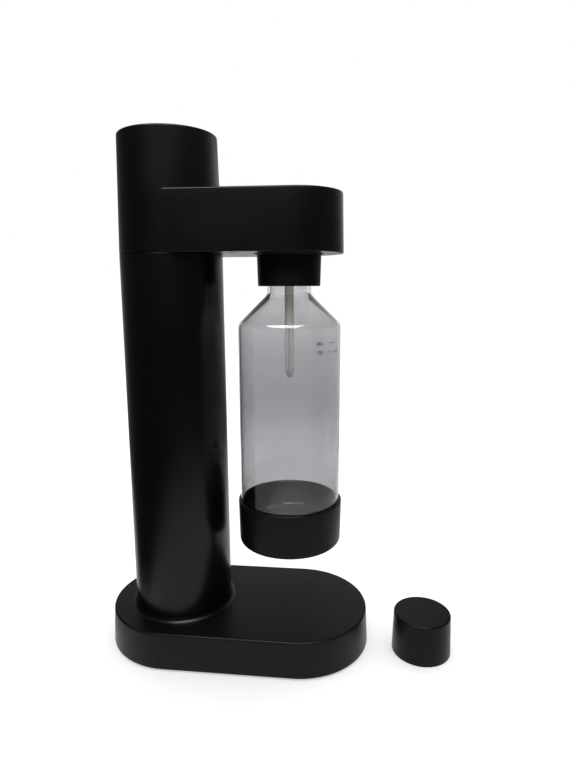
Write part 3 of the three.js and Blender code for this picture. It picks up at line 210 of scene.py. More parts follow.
def close_material(tree, shader):
    """Links the shader to the material's output."""
    add_node(tree, "ShaderNodeOutputMaterial", inputs={"Surface": shader.outputs[0]})


def object_noise(tree, grain, detail=3.0, stretch=(1, 1, 1)):
    """Noise on Object coordinates whose features are about as wide as grain, in metres."""
    place = add_node(tree, "ShaderNodeTexCoord").outputs["Object"]
    if stretch != (1, 1, 1):
        place = add_node(tree, "ShaderNodeMapping", inputs={"Vector": place, "Scale": stretch}).outputs[0]
    return add_node(tree, "ShaderNodeTexNoise", inputs={
        "Vector": place, "Scale": 1 / grain, "Detail": detail, "Roughness": 0.55}).outputs["Fac"]


def spread(tree, factor, low, high):
    """Maps a noise of about 0.3 to 0.7 to the range from low to high."""
    return add_node(tree, "ShaderNodeMapRange", inputs={
        "Value": factor, "From Min": 0.3, "From Max": 0.7, "To Min": low, "To Max": high}).outputs[0]


def tinted(tree, base, share, factor):
    """The base colour, darker or lighter by a share as the factor goes from 0 to 1."""
    dark = (*(c * (1 - share) for c in base), 1)
    light = (*(min(1, c * (1 + share)) for c in base), 1)
    return add_node(tree, "ShaderNodeMix", {"data_type": "RGBA"}, {
        "Factor": factor, "A": dark, "B": light}).outputs["Result"]


def moulded_plastic(name, base, roughness, grain, depth, gloss):
    """ABS, injection moulded in a finely spark-eroded tool.

    The tool's grain breaks the gloss into a satin sheen, and slow flow changes the sheen a little. The
    real grain is too fine to show, so it is drawn coarser.
    """
    patches, shade, wander = 60 * MM, 0.12, 0.03
    material, tree = new_material(name)
    flow = object_noise(tree, patches, 2.0)
    erosion = object_noise(tree, grain, 2.0)
    bump = add_node(tree, "ShaderNodeBump", inputs={
        "Strength": 1.0, "Distance": depth, "Height": erosion})
    shader = add_node(tree, "ShaderNodeBsdfPrincipled", inputs={
        "Base Color": tinted(tree, base, shade, flow),
        "Roughness": spread(tree, flow, roughness - wander, roughness + wander),
        "Specular IOR Level": gloss,
        "IOR": 1.5,
        "Normal": bump.outputs[0]})
    close_material(tree, shader)
    return material


def blown_bottle_plastic(name, tint, low_tint):
    """PET, stretch-blown against a polished mould.

    The wall is clear with a faint smoky tint, and its slow thickness waves bend what lies behind. The
    tint changes with height over the body: deepest about its middle, paler towards its foot and palest at
    the shoulder.
    """
    low, high, wave, depth = 150 * MM, 290 * MM, 14 * MM, 0.04 * MM
    material, tree = new_material(name)
    place = add_node(tree, "ShaderNodeTexCoord").outputs["Object"]
    height = add_node(tree, "ShaderNodeSeparateXYZ", inputs={0: place}).outputs["Z"]
    stretch = add_node(tree, "ShaderNodeMapRange", inputs={
        "Value": height, "From Min": low, "From Max": high}).outputs[0]
    smoke = add_node(tree, "ShaderNodeValToRGB", inputs={"Fac": stretch})
    ramp = smoke.color_ramp
    stops = {0.0: 0.6, 0.16: 0.6, 0.42: 1.0, 0.7: 0.7, 0.84: 0.4, 0.96: 0.0}
    while len(ramp.elements) < len(stops):
        ramp.elements.new(1.0)
    for element, (position, share) in zip(ramp.elements, stops.items()):
        element.position = position
        element.color = (*(a + (b - a) * share for a, b in zip(tint, low_tint)), 1)
    waves = object_noise(tree, wave, 1.0, (1, 1, 0.25))
    bump = add_node(tree, "ShaderNodeBump", inputs={
        "Strength": 1.0, "Distance": depth, "Height": waves})
    shader = add_node(tree, "ShaderNodeBsdfPrincipled", inputs={
        "Base Color": smoke.outputs["Color"],
        "Roughness": 0.03,
        "IOR": 1.57,
        "Transmission Weight": 1.0,
        "Normal": bump.outputs[0]})
    close_material(tree, shader)
    return material


def translucent_plastic(name, base):
    """Unpigmented POM, injection moulded: a milky wall that passes some of the light behind it."""
    patches, shade = 6 * MM, 0.04
    material, tree = new_material(name)
    flow = object_noise(tree, patches, 2.0, (1, 1, 0.3))
    shader = add_node(tree, "ShaderNodeBsdfPrincipled", inputs={
        "Base Color": tinted(tree, base, shade, flow),
        "Roughness": spread(tree, flow, 0.28, 0.36),
        "IOR": 1.48,
        "Transmission Weight": 0.95})
    close_material(tree, shader)
    return material


def metal(name, base, roughness, grain, stretch, depth):
    """Turned, drawn or cast metal: fine marks along or round the piece break its reflections.

    The marks are drawn coarser than real ones, which are too fine to show.
    """
    shade, wander = 0.08, 0.06
    material, tree = new_material(name)
    marks = object_noise(tree, grain, 3.0, stretch)
    bump = add_node(tree, "ShaderNodeBump", inputs={
        "Strength": 1.0, "Distance": depth, "Height": marks})
    shader = add_node(tree, "ShaderNodeBsdfPrincipled", inputs={
        "Base Color": tinted(tree, base, shade, marks),
        "Metallic": 1.0,
        "Roughness": spread(tree, marks, roughness - wander, roughness + wander),
        "Normal": bump.outputs[0]})
    close_material(tree, shader)
    return material


def moulded_rubber(name, base, grain):
    """Rubber, compression moulded: a dull skin with a soft bloom that shows as paler patches."""
    patches, shade, depth = 8 * MM, 0.25, 0.05 * MM
    material, tree = new_material(name)
    bloom = object_noise(tree, patches, 3.0)
    pores = object_noise(tree, grain, 2.0)
    bump = add_node(tree, "ShaderNodeBump", inputs={
        "Strength": 1.0, "Distance": depth, "Height": pores})
    shader = add_node(tree, "ShaderNodeBsdfPrincipled", inputs={
        "Base Color": tinted(tree, base, shade, bloom),
        "Roughness": spread(tree, bloom, 0.78, 0.9),
        "Specular IOR Level": 0.3,
        "Normal": bump.outputs[0]})
    close_material(tree, shader)
    return material


def printed_ink(name, base):
    """Screen-printed ink: a thin satin film with slightly uneven cover."""
    patches, shade = 0.8 * MM, 0.2
    material, tree = new_material(name)
    cover = object_noise(tree, patches, 2.0)
    shader = add_node(tree, "ShaderNodeBsdfPrincipled", inputs={
        "Base Color": tinted(tree, base, shade, cover),
        "Roughness": spread(tree, cover, 0.45, 0.6)})
    close_material(tree, shader)
    return material


def rounded_profile(corners):
    """A profile in radius and height with its corners rounded, as an array of points.

    Each corner is (radius, height, rounding). A rounding of r replaces the corner by an arc that leaves
    both sides at the distance r / tan(half the corner's angle), or at just under half of the shorter
    side. Each straight gets a point near both of its ends, which keeps the shading of flat and straight
    faces even.
    """
    most = 0.49
    corners = [(*c, 0.0) if len(c) == 2 else c for c in corners]
    places = np.array([c[:2] for c in corners], float)
    points = []
    for index, here in enumerate(places):
        rounding = corners[index][2]
        before = places[index - 1] if index else None
        after = places[index + 1] if index + 1 < len(places) else None
        if before is None or after is None or rounding <= 0:
            points.append(here[None])
            continue
        back = (before - here) / np.linalg.norm(before - here)
        ahead = (after - here) / np.linalg.norm(after - here)
        half = math.acos(float(np.clip(back @ ahead, -1, 1))) / 2
        reach = min(rounding / math.tan(half), most * np.linalg.norm(before - here),
                    most * np.linalg.norm(after - here))
        radius_fit = reach * math.tan(half)
        middle = here + (back + ahead) / np.linalg.norm(back + ahead) * radius_fit / math.sin(half)
        start = here + back * reach - middle
        end = here + ahead * reach - middle
        turn = math.atan2(start[0] * end[1] - start[1] * end[0], float(start @ end))
        angles = np.linspace(0, turn, ARC_STEPS + 1)[:, None]
        points.append(middle + start * np.cos(angles) + np.array([-start[1], start[0]]) * np.sin(angles))
    spaced = [points[0]]
    for first, second in zip(points[:-1], points[1:]):
        gap = second[0] - first[-1]
        span = float(np.linalg.norm(gap))
        if span > 4 * SUPPORT:
            step = gap / span * SUPPORT
            spaced.append(np.stack([first[-1] + step, second[0] - step]))
        spaced.append(second)
    return np.concatenate(spaced)


def circle_steps(sides):
    """Equal steps round a full circle, in radians."""
    return np.linspace(0, 2 * np.pi, sides, endpoint=False)


def compass(angle):
    """Unit vectors in plan: (cos u, sin u)."""
    return np.stack([np.cos(angle), np.sin(angle)], axis=-1)


def round_grid(radius, turn, height, centre):
    """Rows of points round a vertical axis: x = cx + r cos u, y = cy + r sin u, z = h."""
    x = centre[0] + radius * np.cos(turn)
    y = centre[1] + radius * np.sin(turn)
    return np.stack([x, y, np.broadcast_to(height, x.shape)], axis=-1)


def grid_mesh(name, grid, closed_rows):
    """A mesh from a grid of points: rows of equally many points, each row a closed loop.

    With closed_rows the last row joins the first, and otherwise each end row is a pole.
    Points that fall together are merged, so poles and pinched rows close without slivers.
    """
    rows, columns, _ = grid.shape
    index = np.arange(rows * columns).reshape(rows, columns)
    ahead = np.roll(index, -1, axis=1)
    above = np.roll(index, -1, axis=0)
    corner = np.roll(ahead, -1, axis=0)
    faces = np.stack([index, ahead, corner, above], axis=-1)
    if not closed_rows:
        faces = faces[:-1]
    mesh = bpy.data.meshes.new(name)
    mesh.from_pydata(grid.reshape(-1, 3).tolist(), [], faces.reshape(-1, 4).tolist())
    finish_mesh(mesh)
    piece = bpy.data.objects.new(name, mesh)
    bpy.context.scene.collection.objects.link(piece)
    return piece


def finish_mesh(mesh):
    """Merges doubles, drops pinched faces, turns faces outwards and shades them smooth."""
    together, pinched = 0.002 * MM, 0.001 * MM
    work = bmesh.new()
    work.from_mesh(mesh)
    bmesh.ops.remove_doubles(work, verts=work.verts, dist=together)
    bmesh.ops.dissolve_degenerate(work, edges=work.edges, dist=pinched)
    bmesh.ops.recalc_face_normals(work, faces=work.faces)
    work.to_mesh(mesh)
    work.free()
    mesh.shade_smooth()
    mesh.set_sharp_from_angle(angle=SHARP)


def revolved(name, corners, centre=(0, 0), sides=CURVE_SIDES):
    """A profile turned round a vertical axis: x = cx + r cos u, y = cy + r sin u, z = h.

    A profile that starts and ends on the axis closes at its poles, and any other closes on itself.
    """
    return revolved_points(name, rounded_profile(corners), centre, sides)


def drill(name, centre, radius, low, high, sides=FINE_SIDES):
    """A plain round cutter."""
    return revolved(name, [(0, low), (radius, low), (radius, high), (0, high)], centre, sides)


def revolved_points(name, profile, centre, sides=CURVE_SIDES):
    """As revolved, from finished profile points."""
    grid = round_grid(profile[:, :1], circle_steps(sides), profile[:, 1:], centre)
    on_axis = profile[0, 0] == 0 and profile[-1, 0] == 0
    return grid_mesh(name, grid, closed_rows=not on_axis)


def pill_loop(left, left_radius, right, right_radius, sides):
    """The hull of two circles on the X axis as a closed loop.

    Its arcs run at equal angles between the outer tangents, which lie at acos((r0 - r1) / distance),
    and its straights run evenly between the arcs.
    """
    lean = math.acos((left_radius - right_radius) / (right - left))
    even = np.linspace(0, 1, sides // 4, endpoint=False)
    right_arc = (right, 0) + right_radius * compass(-lean + 2 * lean * even)
    left_arc = (left, 0) + left_radius * compass(lean + 2 * (np.pi - lean) * even)
    upper_start = (right, 0) + right_radius * compass(lean)
    upper_end = (left, 0) + left_radius * compass(lean)
    upper = upper_start + (upper_end - upper_start) * even[:, None]
    lower = upper[::-1] * (1, -1)
    shifted = np.concatenate([[upper_end * (1, -1)], lower[:-1]])
    return np.concatenate([right_arc, upper, left_arc, shifted])


def level(loop, height):
    """A loop in the plane lifted to a height."""
    return np.concatenate([loop, np.full((len(loop), 1), height)], axis=1)


def dress(piece, finish, slot, body, *nodes):
    """Gives a finished piece its finish, its body and the nodes that it stands for. The slot is not used.
    """
    piece.data.materials.clear()
    piece.data.materials.append(finish_named(finish))
    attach(piece, body)
    if nodes:
        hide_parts(*nodes)
    return piece


def repaint(finish, *nodes):
    """Gives CAD nodes, which keep their own shape, a finish."""
    for name in nodes:
        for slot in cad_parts[name].material_slots:
            slot.material = finish_named(finish)


def finish_named(name):
    """A finish that the operators share, made once.

    Each row is the function that makes it and what that function takes after the name. For plastic this
    is colour, roughness, width and depth of the grain, and gloss. For metal it is colour, roughness, and
    width, stretch and depth of the marks. For rubber it is colour and pore width.
    """
    known = bpy.data.materials.get(name)
    if known:
        return known
    tones = bpy.context.scene.water_maker_colours
    makers = {
        "satin black ABS": (moulded_plastic, tones.body, 0.26, 0.5 * MM, 0.006 * MM, 0.24),
        "cover black ABS": (moulded_plastic, tones.body, 0.26, 0.5 * MM, 0.006 * MM, 0.75),
        "button black ABS": (moulded_plastic, tones.body, 0.4, 0.5 * MM, 0.01 * MM, 0.3),
        "base black ABS": (moulded_plastic, tones.base, 0.36, 0.5 * MM, 0.01 * MM, 0.16),
        "collar black ABS": (moulded_plastic, tones.collar, 0.45, 0.5 * MM, 0.012 * MM, 0.15),
        "cap black PP": (moulded_plastic, tones.cap, 0.34, 0.6 * MM, 0.012 * MM, 0.14),
        "inner black ABS": (moulded_plastic, tones.inner, 0.5, 0.7 * MM, 0.02 * MM, 0.3),
        "nozzle grey POM": (moulded_plastic, tones.nozzle, 0.4, 0.5 * MM, 0.01 * MM, 0.4),
        "natural POM": (translucent_plastic, tones.tip),
        "hose white PE": (moulded_plastic, tones.hose, 0.45, 0.5 * MM, 0.01 * MM, 0.4),
        "blown clear PET": (blown_bottle_plastic, tones.smoke, tones.smoke_low),
        "fill mark ink": (printed_ink, tones.ink),
        "painted aluminium": (metal, tones.cylinder, 0.42, 1.2 * MM, (1, 1, 0.2), 0.01 * MM),
        "turned brass": (metal, tones.brass, 0.25, 0.3 * MM, (0.2, 0.2, 1), 0.01 * MM),
        "cast zinc": (metal, tones.zinc, 0.45, 0.8 * MM, (1, 1, 1), 0.03 * MM),
        "drawn steel": (metal, tones.steel, 0.28, 0.3 * MM, (1, 1, 0.3), 0.008 * MM),
        "zinc-plated steel": (metal, tones.steel, 0.32, 0.4 * MM, (1, 1, 1), 0.01 * MM),
        "blackened steel": (metal, tones.black_steel, 0.4, 0.4 * MM, (1, 1, 1), 0.01 * MM),
        "moulded rubber": (moulded_rubber, tones.rubber, 0.6 * MM),
        "moulded silicone": (moulded_rubber, tones.seal, 0.4 * MM),
        "closed-cell foam": (moulded_rubber, tones.foam, 1.5 * MM),
    }
    maker, *settings = makers[name]
    return maker(name, *settings)


def head_radius(sizes, height):
    """Radius of the head's round part at a height, on a straight draft from the seam to the top."""
    share = (height - sizes.seam) / (sizes.top - sizes.seam)
    return sizes.tower_top + (sizes.head_top - sizes.tower_top) * share


def arm_loop(sizes, height, inset, sides):
    """The arm's outline at a height, drawn in by an inset: a hull round the tower and the arm's end."""
    share = (height - sizes.seam) / (sizes.arm_top - sizes.seam)
    end = sizes.arm_radius - sizes.arm_draft * share
    return pill_loop(0, head_radius(sizes, height) - sizes.arm_blend - inset, sizes.arm_end, end - inset,
                     sides)


def spot(node):
    """The middle of a CAD node in plan, and its lowest and highest z."""
    low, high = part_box(node)
    return ((low.x + high.x) / 2, (low.y + high.y) / 2), low.z, high.z


def carved(piece, tools, operation="DIFFERENCE"):
    """Cuts tools out of a piece, or joins them to it. The tools are used up."""
    for tool in tools:
        change = piece.modifiers.new(tool.name, "BOOLEAN")
        change.operation = operation
        change.solver = "EXACT"
        change.object = tool
    bpy.context.view_layer.update()
    shaped = piece.evaluated_get(bpy.context.evaluated_depsgraph_get())
    mesh = bpy.data.meshes.new_from_object(shaped)
    piece.modifiers.clear()
    piece.data = mesh
    finish_mesh(mesh)
    for tool in tools:
        bpy.data.objects.remove(tool)
    return piece


def joined(piece, others):
    """Puts the meshes of other pieces into a piece. The others are used up."""
    work = bmesh.new()
    for part in (piece, *others):
        work.from_mesh(part.data)
    work.to_mesh(piece.data)
    work.free()
    piece.data.shade_smooth()
    piece.data.set_sharp_from_angle(angle=SHARP)
    for other in others:
        bpy.data.objects.remove(other)
    return piece


def prism(name, loop, low, high, edge=0.3 * MM):
    """A plate on a closed outline: z runs from low to high, and both rims are drawn in by an edge.

    The outline runs anticlockwise, so its left-hand normal points inwards.
    """
    along = np.roll(loop, -1, axis=0) - np.roll(loop, 1, axis=0)
    inward = np.stack([-along[:, 1], along[:, 0]], axis=-1) / np.linalg.norm(along, axis=1, keepdims=True)
    small = loop + inward * edge
    middle = np.broadcast_to(loop.mean(axis=0), loop.shape)
    rows = [level(middle, low), level(small, low), level(loop, low + edge), level(loop, high - edge),
            level(small, high), level(middle, high)]
    return grid_mesh(name, np.stack(rows), closed_rows=False)


def bar_loop(half_length, half_width, sides=FINE_SIDES):
    """A bar's outline with round ends, centred on the origin and lying along X."""
    reach = half_length - half_width
    return pill_loop(-reach, half_width, reach, half_width, sides)


def turned_loop(loop, degrees, centre=(0, 0)):
    """An outline turned about the origin, then moved."""
    angle = math.radians(degrees)
    turn = np.array([[math.cos(angle), math.sin(angle)], [-math.sin(angle), math.cos(angle)]])
    return loop @ turn + centre


def six_sided(name, hole, across, low, high, centre, chamfer=NUT_CHAMFER):
    """A hexagonal nut round a hole, with chamfered corners. Across is measured to its corners."""
    return revolved(name, [
        (hole, low), (across - chamfer, low), (across, low + chamfer), (across, high - chamfer),
        (across - chamfer, high), (hole, high), (hole, low)], centre, 6)


def swept(name, path, side, radius, bore=0.0, sides=20):
    """A round tube carried along a path: p + r (cos a side + sin a (tangent x side)).

    Side is a unit vector square to the path at each of its points. With a bore, the rows run back
    inside the tube, and without one the ends close at their middles.
    """
    tangent = np.gradient(path, axis=0)
    tangent /= np.linalg.norm(tangent, axis=1, keepdims=True)
    other = np.cross(tangent, side)
    angle = circle_steps(sides)[None, :, None]
    ring = np.cos(angle) * side[:, None] + np.sin(angle) * other[:, None]
    outside = path[:, None] + radius * ring
    if bore:
        inside = path[:, None] + bore * ring
        return grid_mesh(name, np.concatenate([outside, inside[::-1]]), closed_rows=True)
    ends = [np.broadcast_to(path[at], (1, sides, 3)) for at in (0, -1)]
    return grid_mesh(name, np.concatenate([ends[0], outside, ends[1]]), closed_rows=False)


def coil(name, node, wire, turns):
    """A round wire wound as a helix whose end turns lie wire on wire, in the box of its CAD node.

    At share s of the winding the wire's middle is at angle 2 pi turns s. It climbs by just over its own
    width a turn in the end turns, and by an eased ramp between them.
    """
    steps_a_turn, end_turns, wire_pitch, easing = 48, 0.8, 2.1, 0.12
    (x, y), low, high = spot(node)
    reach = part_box(node)[1].x - x - wire
    share = np.linspace(0, 1, int(steps_a_turn * turns))
    angle = 2 * np.pi * turns * share
    end = end_turns / turns
    climb = np.clip((share - end) / (1 - 2 * end), 0, 1)
    climb = climb * (1 - easing * np.sin(2 * np.pi * climb))
    side = level(compass(angle), 0)
    end_rise = wire_pitch * wire * end_turns
    first = end_rise * np.clip(share / end, 0, 1)
    last = end_rise * np.clip((share - 1 + end) / end, 0, 1)
    path = reach * side + (x, y, 0)
    path[:, 2] = low + wire + first + last + (high - low - 2 * wire - 2 * end_rise) * climb
    return swept(name, path, side, wire, sides=14)


def threaded(name, profile, centre, core, crest, pitch, low, high, sides=FINE_SIDES):
    """A turned body whose wall between two heights carries a screw thread.

    There the radius is the core plus a triangular ridge that is highest where height / pitch less the
    turn's share is whole. The ridge fades in and out over one pitch.
    """
    rows_a_pitch, slope = 10, 2.4
    heights = np.arange(low, high, pitch / rows_a_pitch)
    wall = np.stack([np.full_like(heights, core), heights], axis=-1)
    before = profile[profile[:, 1] <= low]
    after = profile[profile[:, 1] >= high]
    points = np.concatenate([before, wall, after])
    turn = circle_steps(sides)
    phase = points[:, 1:] / pitch - turn / (2 * np.pi)
    ridge = np.clip(1 - slope * np.abs(phase - np.round(phase)), 0, 1)
    fade = np.clip((points[:, 1:] - low) / pitch, 0, 1) * np.clip((high - points[:, 1:]) / pitch, 0, 1)
    on_wall = np.zeros((len(points), 1))
    on_wall[len(before):len(before) + len(wall)] = 1
    radius = points[:, :1] + (crest - core) * ridge * fade * on_wall
    return grid_mesh(name, round_grid(radius, turn, points[:, 1:], centre), closed_rows=False)


def screw(node, finish="zinc-plated steel"):
    """A pan-head screw that points up, with a cross recess under its head and a cut thread."""
    head, depth, core, crest, pitch = 2.3 * MM, 1.8 * MM, 0.95 * MM, 1.35 * MM, 1.1 * MM
    plain, point, undercut = 0.5 * MM, 1.4 * MM, 0.01 * MM
    slot_reach, slot_width, slot_edge = 1.35 * MM, 0.3 * MM, 0.05 * MM
    slot_depths = {8: 1.1 * MM, 98: 1.13 * MM}
    centre, foot, tip = spot(node)
    shaft = foot + depth
    profile = rounded_profile([
        (0, foot), (head, foot, 0.7 * MM), (head, shaft, 0.15 * MM), (core, shaft + undercut),
        (core, tip - point), (0, tip)])
    piece = threaded(node + "_turned", profile, centre, core, crest, pitch, shaft + plain, tip - point, 32)
    slot = bar_loop(slot_reach, slot_width, 16)
    carved(piece, [
        prism("slot", turned_loop(slot, turn, centre), foot - OVERRUN, foot + deep, slot_edge)
        for turn, deep in slot_depths.items()])
    dress(piece, finish, "screw_steel", "housing", node)


def screws(kind, count, finish="zinc-plated steel"):
    """All screws of a kind, which are numbered from 1."""
    for number in range(1, count + 1):
        screw(f"{kind}_{number}", finish)


class WATERMAKER_OT_tower(bpy.types.Operator):
    """Build the tower tube with the hollow curve at its foot"""

    bl_idname = "water_maker.tower"
    bl_label = "Tower"

    def execute(self, context):
        s = context.scene.water_maker_sizes
        deck = s.base_top
        top = s.seam - s.seam_gap
        bore = s.tower_top - s.tower_wall
        turn = np.linspace(0, np.pi / 2, 13)[:-1]
        hollow = np.stack([
            s.tower_foot + s.tower_fillet * (1 - np.sin(turn)),
            deck + s.tower_fillet * (1 - np.cos(turn))], axis=-1)
        wall = rounded_profile([
            (s.tower_foot, deck + s.tower_fillet),
            (s.tower_top, top, 0.3 * MM),
            (bore, top),
            (bore, deck),
            (s.tower_foot + s.tower_fillet, deck)])
        tube = revolved_points("tower_tube_moulding", np.concatenate([hollow, wall[:-1]]), (0, 0))
        dress(tube, "satin black ABS", "satin_black", "housing", "tower_tube")
        return {"FINISHED"}


class WATERMAKER_OT_head(bpy.types.Operator):
    """Build the head with its arm, the lip that centres it in the tower, and the arm cover"""

    bl_idname = "water_maker.head"
    bl_label = "Head and arm"

    def execute(self, context):
        s = context.scene.water_maker_sizes
        shell = joined(self.head_shell(s), [self.lip(s)])
        dress(shell, "satin black ABS", "satin_black", "housing", "head_shell")
        dress(self.arm_cover(s), "cover black ABS", "satin_black", "housing", "arm_cover")
        screws("arm_cover_screw", 3, "blackened steel")
        screws("head_screw", 2)
        return {"FINISHED"}

    def head_shell(self, s):
        """The hull of tower and arm below the arm's top and the drafted round above it.

        Each row is the farther of the arm's outline and the tower's circle, seen from the tower's axis,
        so the arm's sides leave the round where the two cross.
        """
        sides, levels, soft, mouth = 640, 7, 0.3 * MM, 0.4 * MM
        edge = s.head_edge
        top_loop = arm_loop(s, s.arm_top, edge, sides)
        heading = top_loop / np.linalg.norm(top_loop, axis=1, keepdims=True)

        def farther(height, inset, wall):
            """The farther of the arm's outline and the tower's circle, both drawn in."""
            outline = arm_loop(s, height, inset, sides)
            reach = np.linalg.norm(outline, axis=1, keepdims=True)
            circle = head_radius(s, height) - wall
            return level(np.where(reach > circle, outline, outline / reach * circle), height)

        def circle(height, radius):
            """A row round the tower's axis, on the same rays as the arm's outline."""
            return level(heading * radius, height)

        rows = [farther(s.seam, soft, soft), farther(s.seam + soft, 0, 0)]
        for share in np.linspace(0, 1, levels)[1:-1]:
            rows.append(farther(s.seam + (s.arm_top - s.seam) * share, 0, 0))
        for turn in np.linspace(0, np.pi / 2, ARC_STEPS + 1):
            rows.append(farther(s.arm_top - edge + edge * math.sin(turn), edge * (1 - math.cos(turn)), 0))
        around = head_radius(s, s.arm_top)
        rows.append(circle(s.arm_top, around))
        inner, hole = s.head_top - s.head_wall, s.button + GAP
        rim, ceiling = s.top - s.rim, s.arm_top - s.head_wall
        upper = rounded_profile([
            (around, s.arm_top),
            (s.head_top, s.top, edge),
            (hole, s.top, mouth),
            (hole, rim),
            (inner, rim),
            (head_radius(s, ceiling) - s.head_wall, ceiling)])
        rows.extend(circle(height, radius) for radius, height in upper[1:])
        rows.append(farther(ceiling, s.head_wall, s.head_wall))
        rows.append(farther(s.seam, s.head_wall, s.head_wall))
        return grid_mesh("head_moulding", np.stack(rows), closed_rows=True)

    def lip(self, s):
        """The ring inside the head that centres it in the tower, with its sleeve beside the arm."""
        wall, soft, below, above = 1.5 * MM, 0.3 * MM, 6 * MM, 8 * MM
        reach = s.tower_top - s.tower_wall - GAP
        low, sleeve = s.seam - below, s.seam + above
        return revolved("centring_lip", [
            (reach - wall, low),
            (reach, low, soft),
            (reach, s.seam),
            (s.tower_top - soft, s.seam + soft),
            (head_radius(s, sleeve) - soft, sleeve),
            (reach - wall, sleeve),
            (reach - wall, low)])

    def arm_cover(self, s):
        """The plate under the arm: a ruled face from the hole round the collar to the outer outline.

        The outline lies, on each ray from the hole's middle, at the nearer of the arm's inner wall and
        the circle round the tower.
        """
        rays, facings, grazing, far = 512, 1440, 1e-3, 10
        ray, normal = compass(circle_steps(rays)), compass(circle_steps(facings))
        centre = np.array([s.bottle_axis, 0])
        inset = s.head_wall + GAP
        tower = head_radius(s, s.seam) - s.arm_blend - inset
        support = np.maximum(tower, s.arm_end * normal[:, 0] + s.arm_radius - inset)
        slope = ray @ normal.T
        meets = slope > grazing
        reach = np.where(meets, (support - normal @ centre) / np.maximum(slope, grazing), far)
        outer = reach.min(axis=1)
        bite = head_radius(s, s.seam) + GAP
        along = ray @ centre
        square = along ** 2 - centre @ centre + bite ** 2
        near = np.where((square > 0) & (along < 0), -along - np.sqrt(np.maximum(square, 0)), far)
        outer = np.minimum(outer, near)
        low, high, soft = s.seam, s.seam + s.cover, 0.4 * MM
        hole = np.full(rays, s.cover_hole)
        rows = [(hole + soft, low), (outer - 2 * soft, low), (outer - soft, low), (outer, low + soft),
                (outer, high), (hole, high), (hole, low + soft)]
        grid = np.stack([level(centre + ray * out[:, None], height) for out, height in rows])
        plate = grid_mesh("arm_cover_plate", grid, closed_rows=True)
        return carved(plate, [
            drill("seat", spot(f"arm_cover_screw_{number}")[0], SEAT_RADIUS, low - OVERRUN,
                  low + SEAT_DEPTH, 32)
            for number in (1, 2, 3)])


class WATERMAKER_OT_button(bpy.types.Operator):
    """Build the push button that closes the top of the tower"""

    bl_idname = "water_maker.button"
    bl_label = "Push button"

    def execute(self, context):
        s = context.scene.water_maker_sizes
        lip, wall, crown, depth, dish, band = 1.9 * MM, 2 * MM, 3 * MM, 13 * MM, 1.1 * MM, 5 * MM
        lip_top = s.top - s.rim - GAP
        skirt = s.top - depth
        under = s.top - crown
        button = revolved("button_moulding", [
            (0, s.top - dish),
            (s.button - band, s.top, 6 * MM),
            (s.button, s.top, 0.6 * MM),
            (s.button, lip_top),
            (s.button + lip, lip_top),
            (s.button + lip, lip_top - wall),
            (s.button, lip_top - wall),
            (s.button, skirt),
            (s.button - wall, skirt),
            (s.button - wall, under),
            (0, under)])
        stud_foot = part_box("press_button")[0].z
        stud_radius, dome, stud_place, dome_share = 3.2 * MM, 1.4 * MM, 16 * MM, 0.33
        stud = revolved("button_stud", [
            (0, stud_foot),
            (stud_radius / 2, stud_foot + dome_share * dome, 1.4 * MM),
            (stud_radius, stud_foot + dome, 0.4 * MM),
            (stud_radius, under),
            (0, under)], (stud_place, 0), FINE_SIDES)
        joined(button, [stud])
        dress(button, "button black ABS", "satin_black", "button", "press_button")
        return {"FINISHED"}


